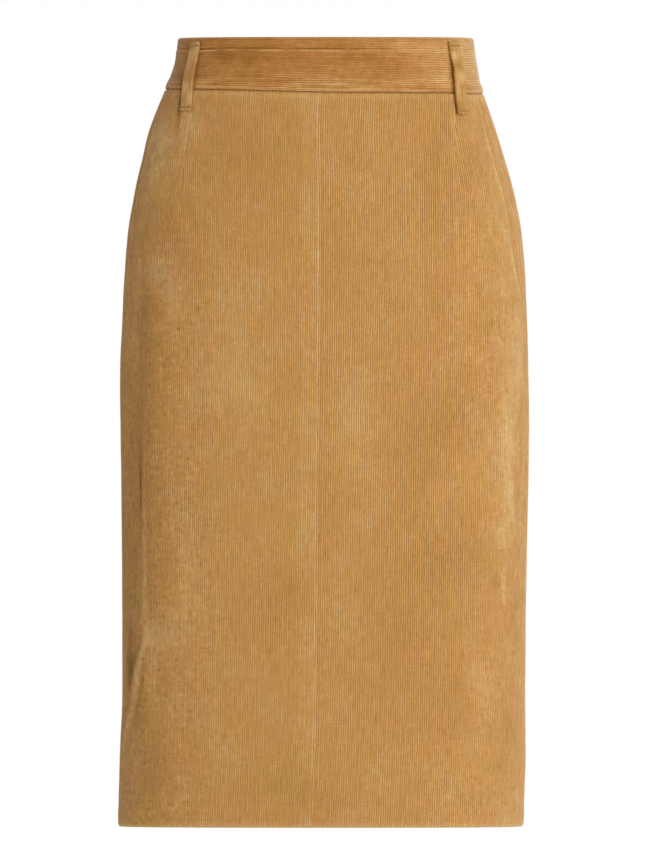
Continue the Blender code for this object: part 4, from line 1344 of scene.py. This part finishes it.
def loop_line(side, where):
    """A function from a place along a loop, 0 to 1, and across it, -0.5 to 0.5, to s, drop and its lift."""
    top_arc, foot_arc = LOOP_ARCS[where, side]
    at_seam = foot_arc if where == "front" else half_round(BAND_HEIGHT) - foot_arc
    foot = float(seam_drop(side, at_seam)) + LOOP_BELOW_SEAM

    def line(along, across):
        drop = LOOP_TOP + (foot - LOOP_TOP) * along
        middle = top_arc + (foot_arc - top_arc) * along
        middle = middle if where == "front" else half_round(drop) - middle
        free = np.clip((drop - LOOP_TOP - LOOP_TACK) / (foot - LOOP_TOP - 2 * LOOP_TACK), 0, 1)
        lift = PIECE_GAP + LOOP_STAND * np.sin(np.pi * free) ** 0.9
        return middle + across * LOOP_WIDTH, drop, lift

    return line, foot - LOOP_TOP


def belt_loop(name, side, where, seed):
    """One belt loop."""
    line, length = loop_line(side, where)

    def sheet(rows, columns, right_side):
        along = np.linspace(0, 1, rows)[:, None]
        across = np.linspace(-0.5, 0.5, columns)[None, :]
        s, drop, lift = line(along, across)
        drop = drop + 0 * across
        wander = 0.0005 * hills(seed, along * length, along * 0, 0.014, 1.0) * np.sin(np.pi * along)
        frayed = 0.0004 * hills(seed + 4, across, across * 0, 0.13, 1.0) * ramp(along, 0.9, 1.0)
        from_edge = (0.5 - np.abs(across)) * LOOP_WIDTH
        from_end = np.minimum(along, 1 - along) * length
        rib_place = (across + 0.5) * LOOP_WIDTH + 0 * along
        out, tone = lift + 0 * across, 0.0
        if right_side:
            rolled = furrow(from_edge, 0.0013, 0.0010) + furrow(from_end, 0.0014, 0.0011)
            tacked = furrow(from_end - TACK_INSET, 0.0005, 0.0012)
            puffed = 0.0005 * bell(from_end - 0.0012, 0.0012)
            puffed = puffed + 0.0003 * hills(seed + 1, drop, across, 0.006, 0.7)
            out = out + LOOP_THICK + rolled + tacked + puffed + 0.4 * ribs(rib_place, drop, seed)
            # A painted highlight just inside each rolled edge, and random unevenness.
            tone = 0.5 * bell(from_edge - 0.0006, 0.0009) + 1.1 * hills(seed + 2, drop, across, 0.009, 0.5)
            # Painted shadow along the long edges, where the loop stands off the band.
            on_left, on_right = LOOP_SHADE[where, side]
            shaded = np.where(across * side < 0, on_left, on_right) * bell(from_edge, 0.0012)
            # The ends are paler, and painted dark lines of shade lie along the rolled edges and where the
            # ends fold under.
            tone = tone + 0.35 * bell(from_end, 0.0040) - 1.0 * bell(from_edge, 0.0004) - shaded
            tone = tone - 1.2 * bell(from_end, 0.0007)
            tone = tone + LOOP_LIGHT * ramp(along, 0.35, 0.70) * (-side if where == "front" else 0)
        points = on_form(side, s + wander, drop + frayed, out)
        return Sheet(plain_ids(rows, columns), points, rib_place, drop, tone, 0.4, 0.8)

    count = int(LOOP_WIDTH / WALE * WALE_COLUMNS) + 6
    right, wrong = sheet(72, count, True), sheet(36, 5, False)
    piece = shell(name + "_corduroy", name, right, wrong, (PANEL_CORDUROY, TWILL_BACK))


# %% [markdown]
# Stitches are short tubes of thread whose ends dive into the cloth. One helper makes a tube along a few
# points, and another joins many of them into one piece that rides with the skirt.

# %% Threads
THREAD_RADIUS = 0.00024


def tube(points, radius, sides=6):
    """Points and faces of a tube with rounded ends along a line of points."""
    points = [Vector(p) for p in points]
    made_points, faces = [], []
    for i, p in enumerate(points):
        ahead = points[min(i + 1, len(points) - 1)] - points[max(i - 1, 0)]
        turn = ahead.to_track_quat("Z", "Y").to_matrix()
        width = radius * (0.45 if i in (0, len(points) - 1) else 1.0)
        for k in range(sides):
            angle = 2 * math.pi * k / sides
            made_points.append(p + turn @ Vector((width * math.cos(angle), width * math.sin(angle), 0)))
        if i:
            for k in range(sides):
                a, b = (i - 1) * sides + k, (i - 1) * sides + (k + 1) % sides
                faces.append((a, b, b + sides, a + sides))
    faces.append(tuple(range(sides - 1, -1, -1)))
    faces.append(tuple(range(len(made_points) - sides, len(made_points))))
    return made_points, faces


def sew(name, lines, material, radius=THREAD_RADIUS):
    """One piece from many threads, which rides with the skirt."""
    points, faces = [], []
    for line in lines:
        more, new_faces = tube(line, radius)
        faces += [tuple(len(points) + k for k in face) for face in new_faces]
        points += [tuple(p) for p in more]
    mesh = bpy.data.meshes.new(name)
    mesh.from_pydata(points, [], faces)
    finish(mesh)
    mesh.materials.append(material)
    add_piece(name, mesh, "skirt")
    print(f"{name}: {len(lines)} threads")


def stitch(start, end, rise):
    """Five points of a stitch that rises from the cloth and dives back. start and end are (s, drop)."""
    steps = ((0.0, -0.6), (0.15, 0.5), (0.5, 1.0), (0.85, 0.5), (1.0, -0.6))
    run, fall = end[0] - start[0], end[1] - start[1]
    return [(start[0] + run * t, start[1] + fall * t, rise * h) for t, h in steps]


def bar_tacks(name, side, where, seed):
    """The two bars of close stitches that hold a belt loop."""
    line, length = loop_line(side, where)
    jitter = np.random.default_rng(seed)
    threads = []
    for along in (TACK_INSET / length, 1 - TACK_INSET / length):
        for across in np.linspace(-0.44, 0.44, 26):
            half = 0.0010 + 0.00015 * jitter.uniform(-1, 1)
            s, drop, lift = (float(v) for v in line(along, across))
            rows = stitch((s, drop - half), (s + 0.0003, drop + half), 0.0005)
            threads.append([on_form(side, a, b, lift + LOOP_THICK - 0.0005 + h) for a, b, h in rows])
    sew(name, threads, TAN_THREAD)


for hand, side in (("left", 1), ("right", -1)):
    for where, seed in (("front", 80), ("back", 90)):
        belt_loop(f"belt_loop_{where}_{hand}", side, where, seed + side)
        bar_tacks(f"bar_tacks_{where}_{hand}", side, where, seed + 3 + side)

# %% [markdown]
# ## The zip
#
# The zip at the centre back is two woven tapes with a nylon coil along each, sewn behind the two edges of
# the skirt. The coils' turns lock into each other one by one, so they are made as small rounded bars that
# come alternately from the left and from the right. Two rows of stitching hold the tapes.

# %% Tapes
TAPE_EDGE = 0.00075
TAPE_WIDTH = 0.0120
TAPE_THICK = 0.0010
TAPE_DEPTH = BAND_WALL + PIECE_GAP


def tape(name, side):
    """One woven tape, with a thicker cord along its inner edge."""

    def sheet(rows, columns, deep):
        drop = np.linspace(0.002, ZIP_END + 0.010, rows)[:, None]
        distance = np.linspace(TAPE_EDGE, TAPE_EDGE + TAPE_WIDTH, columns)[None, :]
        cord = 0.00025 * bell(distance - TAPE_EDGE, 0.0012) * (not deep)
        ripple = 0.00012 * hills(100 + side, distance, drop, 0.010, 0.012)
        s = half_round(drop) - distance
        points = on_form(side, s, drop, cord + ripple - TAPE_DEPTH - deep)
        return Sheet(plain_ids(rows, columns), points, distance + 0 * drop, drop + 0 * distance)

    right, wrong = sheet(60, 12, 0.0), sheet(60, 6, TAPE_THICK)
    piece = shell(name + "_woven", name, right, wrong, (ZIP_TAPE, ZIP_TAPE))


tape("zip_tape_left", 1)
tape("zip_tape_right", -1)

# %% [markdown]
# The coil is drawn only where it shows, from the slider down. Its turns are a little coarser than real
# ones, so that each can be seen.

# %% Coil
COIL_PITCH = 0.0012
COIL_REACH = 0.0019
SLIDER_DROP = 0.014


def coil():
    """The locked coil from the slider down to the zip's end."""
    bars = []
    for k, drop in enumerate(np.arange(SLIDER_DROP + 0.004, ZIP_END, COIL_PITCH)):
        side = 1 if k % 2 else -1
        reach = np.linspace(-0.0007, COIL_REACH, 5)
        lift = -TAPE_DEPTH + 0.0009 + 0.0004 * np.sin(np.linspace(0.2, np.pi, 5))
        bars.append([on_form(side, half_round(drop) - r, drop, h) for r, h in zip(reach, lift)])
    sew("zip_coil", bars, TAN_COIL, radius=0.00046)


coil()

# %% [markdown]
# Each tape is held by a row of stitches that shows on the right side, and a short row across closes the
# zip's lower end. The slit's top takes the strain of walking, so it gets a bar tack like those of the belt
# loops.

# %% Zip stitching and the slit's bar tack
def running_stitches(side, distance, start, end, pitch=0.0032, gap=0.0007):
    """A row of stitches down one side of the centre back."""
    rows = []
    for drop in np.arange(start, end, pitch):
        s = float(half_round(drop)) - distance
        at = stitch((s, drop), (s, drop + pitch - gap), 0.00035)
        rows.append([on_form(side, a, b, h - 0.0002 + hung(side, a, b)) for a, b, h in at])
    return rows


ZIP_STITCH = 0.0065
down_both = running_stitches(1, ZIP_STITCH, 0.050, ZIP_END) + running_stitches(-1, ZIP_STITCH, 0.050, ZIP_END)
across_end = []
for x in np.arange(-ZIP_STITCH, ZIP_STITCH, 0.0026):
    at = [(x, -0.0002), (x + 0.001, 0.0002), (x + 0.0020, -0.0002)]
    across_end.append([on_form(1, half_round(ZIP_END) - a, ZIP_END + 0.0008, h) for a, h in at])
sew("zip_stitching", down_both + across_end, TAN_THREAD, radius=0.00018)

slit_top = LENGTH - SLIT_HEIGHT
tack = []
for x in np.linspace(-0.0045, 0.0045, 22):
    at = [(x, -0.0012, -0.0006), (x, -0.0004, 0.0002), (x, 0.0004, 0.0002), (x, 0.0012, -0.0006)]
    tack.append([on_form(1, half_round(slit_top) - a, slit_top + b, h - 0.0002) for a, b, h in at])
sew("slit_bar_tack", tack, TAN_THREAD, radius=0.00020)

# %% [markdown]
# The slider and its pull are cast and then tumbled, which rounds every edge. The solid pieces have the
# right shape with sharp edges, so each gets a copy with a small bevel.

# %% Slider and pull
def rounded_casting(node, body, width=0.00014):
    """A copy of a solid zip piece with rounded edges and painted metal."""
    mesh = frame["nodes"][node].data.copy()
    made = bmesh.new()
    made.from_mesh(mesh)
    bmesh.ops.remove_doubles(made, verts=made.verts, dist=0.00001)
    bmesh.ops.dissolve_limit(made, angle_limit=math.radians(1), verts=made.verts, edges=made.edges)
    made.to_mesh(mesh)
    made.free()
    mesh.materials.clear()
    mesh.materials.append(TAN_PAINT)
    mesh.shade_smooth()
    piece = add_piece(node + "_casting", mesh, body, node)
    bevel = piece.modifiers.new("tumbled edges", "BEVEL")
    bevel.width = width
    bevel.segments = 2
    bevel.limit_method = "ANGLE"
    bevel.angle_limit = math.radians(30)
    print(f"{piece.name}: {len(mesh.polygons)} faces before its bevel")


rounded_casting("zip_slider", "skirt")
rounded_casting("zip_pull", "pull")

# %% [markdown]
# ## The studio
#
# The skirt is shown from straight in front, from far away with a long lens, which keeps its sides parallel
# as in a catalogue. Light is soft and comes mostly from the front right, so the cloth is darker towards the
# left. The floor is a plain sheet of pale paper below the hem, which fades out before its edge would show
# as a line.

# %% Camera
FRAME_HEIGHT = 0.7382             # what the frame shows from its lower to its upper edge
LENS = 1150
VIEW_TURN = math.radians(1.2)
VIEW_CENTRE = Vector((-0.0012, 0, TOP - 0.3364))
distance = FRAME_HEIGHT * LENS / 36
camera = bpy.data.objects.new("camera", bpy.data.cameras.new("camera"))
camera.data.lens = LENS
camera.data.sensor_width = 36
camera.location = VIEW_CENTRE + distance * Vector((math.sin(VIEW_TURN), -math.cos(VIEW_TURN), 0))
camera.rotation_euler = (math.pi / 2, 0, VIEW_TURN)
camera.data.clip_end = 60
scene.collection.objects.link(camera)
scene.camera = camera
print(f"camera {distance:.1f} m away")

# %% [markdown]
# Three soft boxes light the skirt: one in front, one beside it and one behind. A world that is a little
# brighter on one side fills the shadows, as a pale room does.

# %% Light
# azimuth 0 is straight in front and 90 the wearer's left, in degrees; power is in watts. The side light is
# a little cooler than the others, as daylight from a window is.
SoftBox = namedtuple("SoftBox", "name azimuth elevation width height power colour", defaults=["#FFFFFF"])
SOFT_BOXES = (
    SoftBox("key", 20, 15, 1.0, 1.6, 41),
    SoftBox("side", 80, 12, 1.0, 1.6, 19, "#EEF3FF"),
    SoftBox("back", 165, 22, 1.2, 1.6, 36),
)
BOX_DISTANCE = 2.8
for box in SOFT_BOXES:
    data = bpy.data.lights.new(box.name, "AREA")
    data.shape = "RECTANGLE"
    data.size, data.size_y = box.width, box.height
    data.energy = box.power
    data.color = linear(box.colour)[:3]
    turn, rise = math.radians(box.azimuth), math.radians(box.elevation)
    way = Vector((math.sin(turn) * math.cos(rise), -math.cos(turn) * math.cos(rise), math.sin(rise)))
    light = bpy.data.objects.new(box.name, data)
    light.location = Vector((0, 0, TOP - LENGTH / 2)) + BOX_DISTANCE * way
    light.rotation_euler = way.to_track_quat("Z", "Y").to_euler()
    scene.collection.objects.link(light)

# The room is brighter on the wearer's left, where daylight comes in, and that light is the cooler of the
# two. What lies behind the skirt is plain white.
world = bpy.data.worlds.new("studio")
world.use_nodes = True
scene.world = world
to_left = add(world, "SeparateXYZ", {0: add(world, "TexCoord").outputs["Generated"]}).outputs["X"]
strength = add(world, "MapRange", {0: to_left, 1: -1.0, 2: 1.0, 3: 0.477, 4: 0.753}).outputs[0]
share = add(world, "MapRange", {0: to_left, 1: -1.0, 2: 1.0}).outputs[0]
tint = add(world, "Mix", {0: share, 6: linear("#FFFBF5"), 7: linear("#F0F7FF")}, data_type="RGBA").outputs[2]
room = add(world, "Background", {"Color": tint, "Strength": strength})
white = add(world, "Background", {"Color": (1.0, 1.0, 1.0, 1.0), "Strength": 1.0})
seen = add(world, "LightPath").outputs["Is Camera Ray"]
either = add(world, "MixShader", {0: seen, 1: room.outputs[0], 2: white.outputs[0]})
world.node_tree.links.new(either.outputs[0], world.node_tree.nodes["World Output"].inputs[0])
scene.view_settings.view_transform = "Standard"

# %% [markdown]
# The floor is a round sheet of paper. Its edge would show as a line from some sides, so it fades out before
# it.

# %% Floor
FLOOR_BELOW = 0.16
FLOOR_RADIUS = 2.4
floor_mesh = bpy.data.meshes.new("floor")
made = bmesh.new()
bmesh.ops.create_circle(made, cap_ends=True, segments=96, radius=FLOOR_RADIUS)
made.to_mesh(floor_mesh)
made.free()
floor = bpy.data.objects.new("floor", floor_mesh)
floor.location = (0, 0, TOP - LENGTH - FLOOR_BELOW)
scene.collection.objects.link(floor)
paper, paper_shader = new_material("pale_paper")
place = add(paper, "TexCoord").outputs["Object"]
fibre = add(paper, "TexNoise", {"Vector": place, "Scale": 40.0, "Detail": 3.0}).outputs["Fac"]
pale = add(paper, "MapRange", {"Value": fibre, 1: 0.3, 2: 0.7, 3: 0.90, 4: 0.92}).outputs[0]
paper.node_tree.links.new(pale, paper_shader.inputs["Base Color"])
paper_shader.inputs["Roughness"].default_value = 0.9
outwards = add(paper, "VectorMath", {0: place}, operation="LENGTH").outputs["Value"]
fade_range = {"Value": outwards, 1: 0.5, 2: FLOOR_RADIUS * 0.98}
fade = add(paper, "MapRange", fade_range, interpolation_type="SMOOTHSTEP")
nothing = add(paper, "BsdfTransparent")
mixed = add(paper, "MixShader", {0: fade.outputs[0], 1: paper_shader.outputs[0], 2: nothing.outputs[0]})
paper.node_tree.links.new(mixed.outputs[0], paper.node_tree.nodes["Material Output"].inputs["Surface"])
floor_mesh.materials.append(paper)
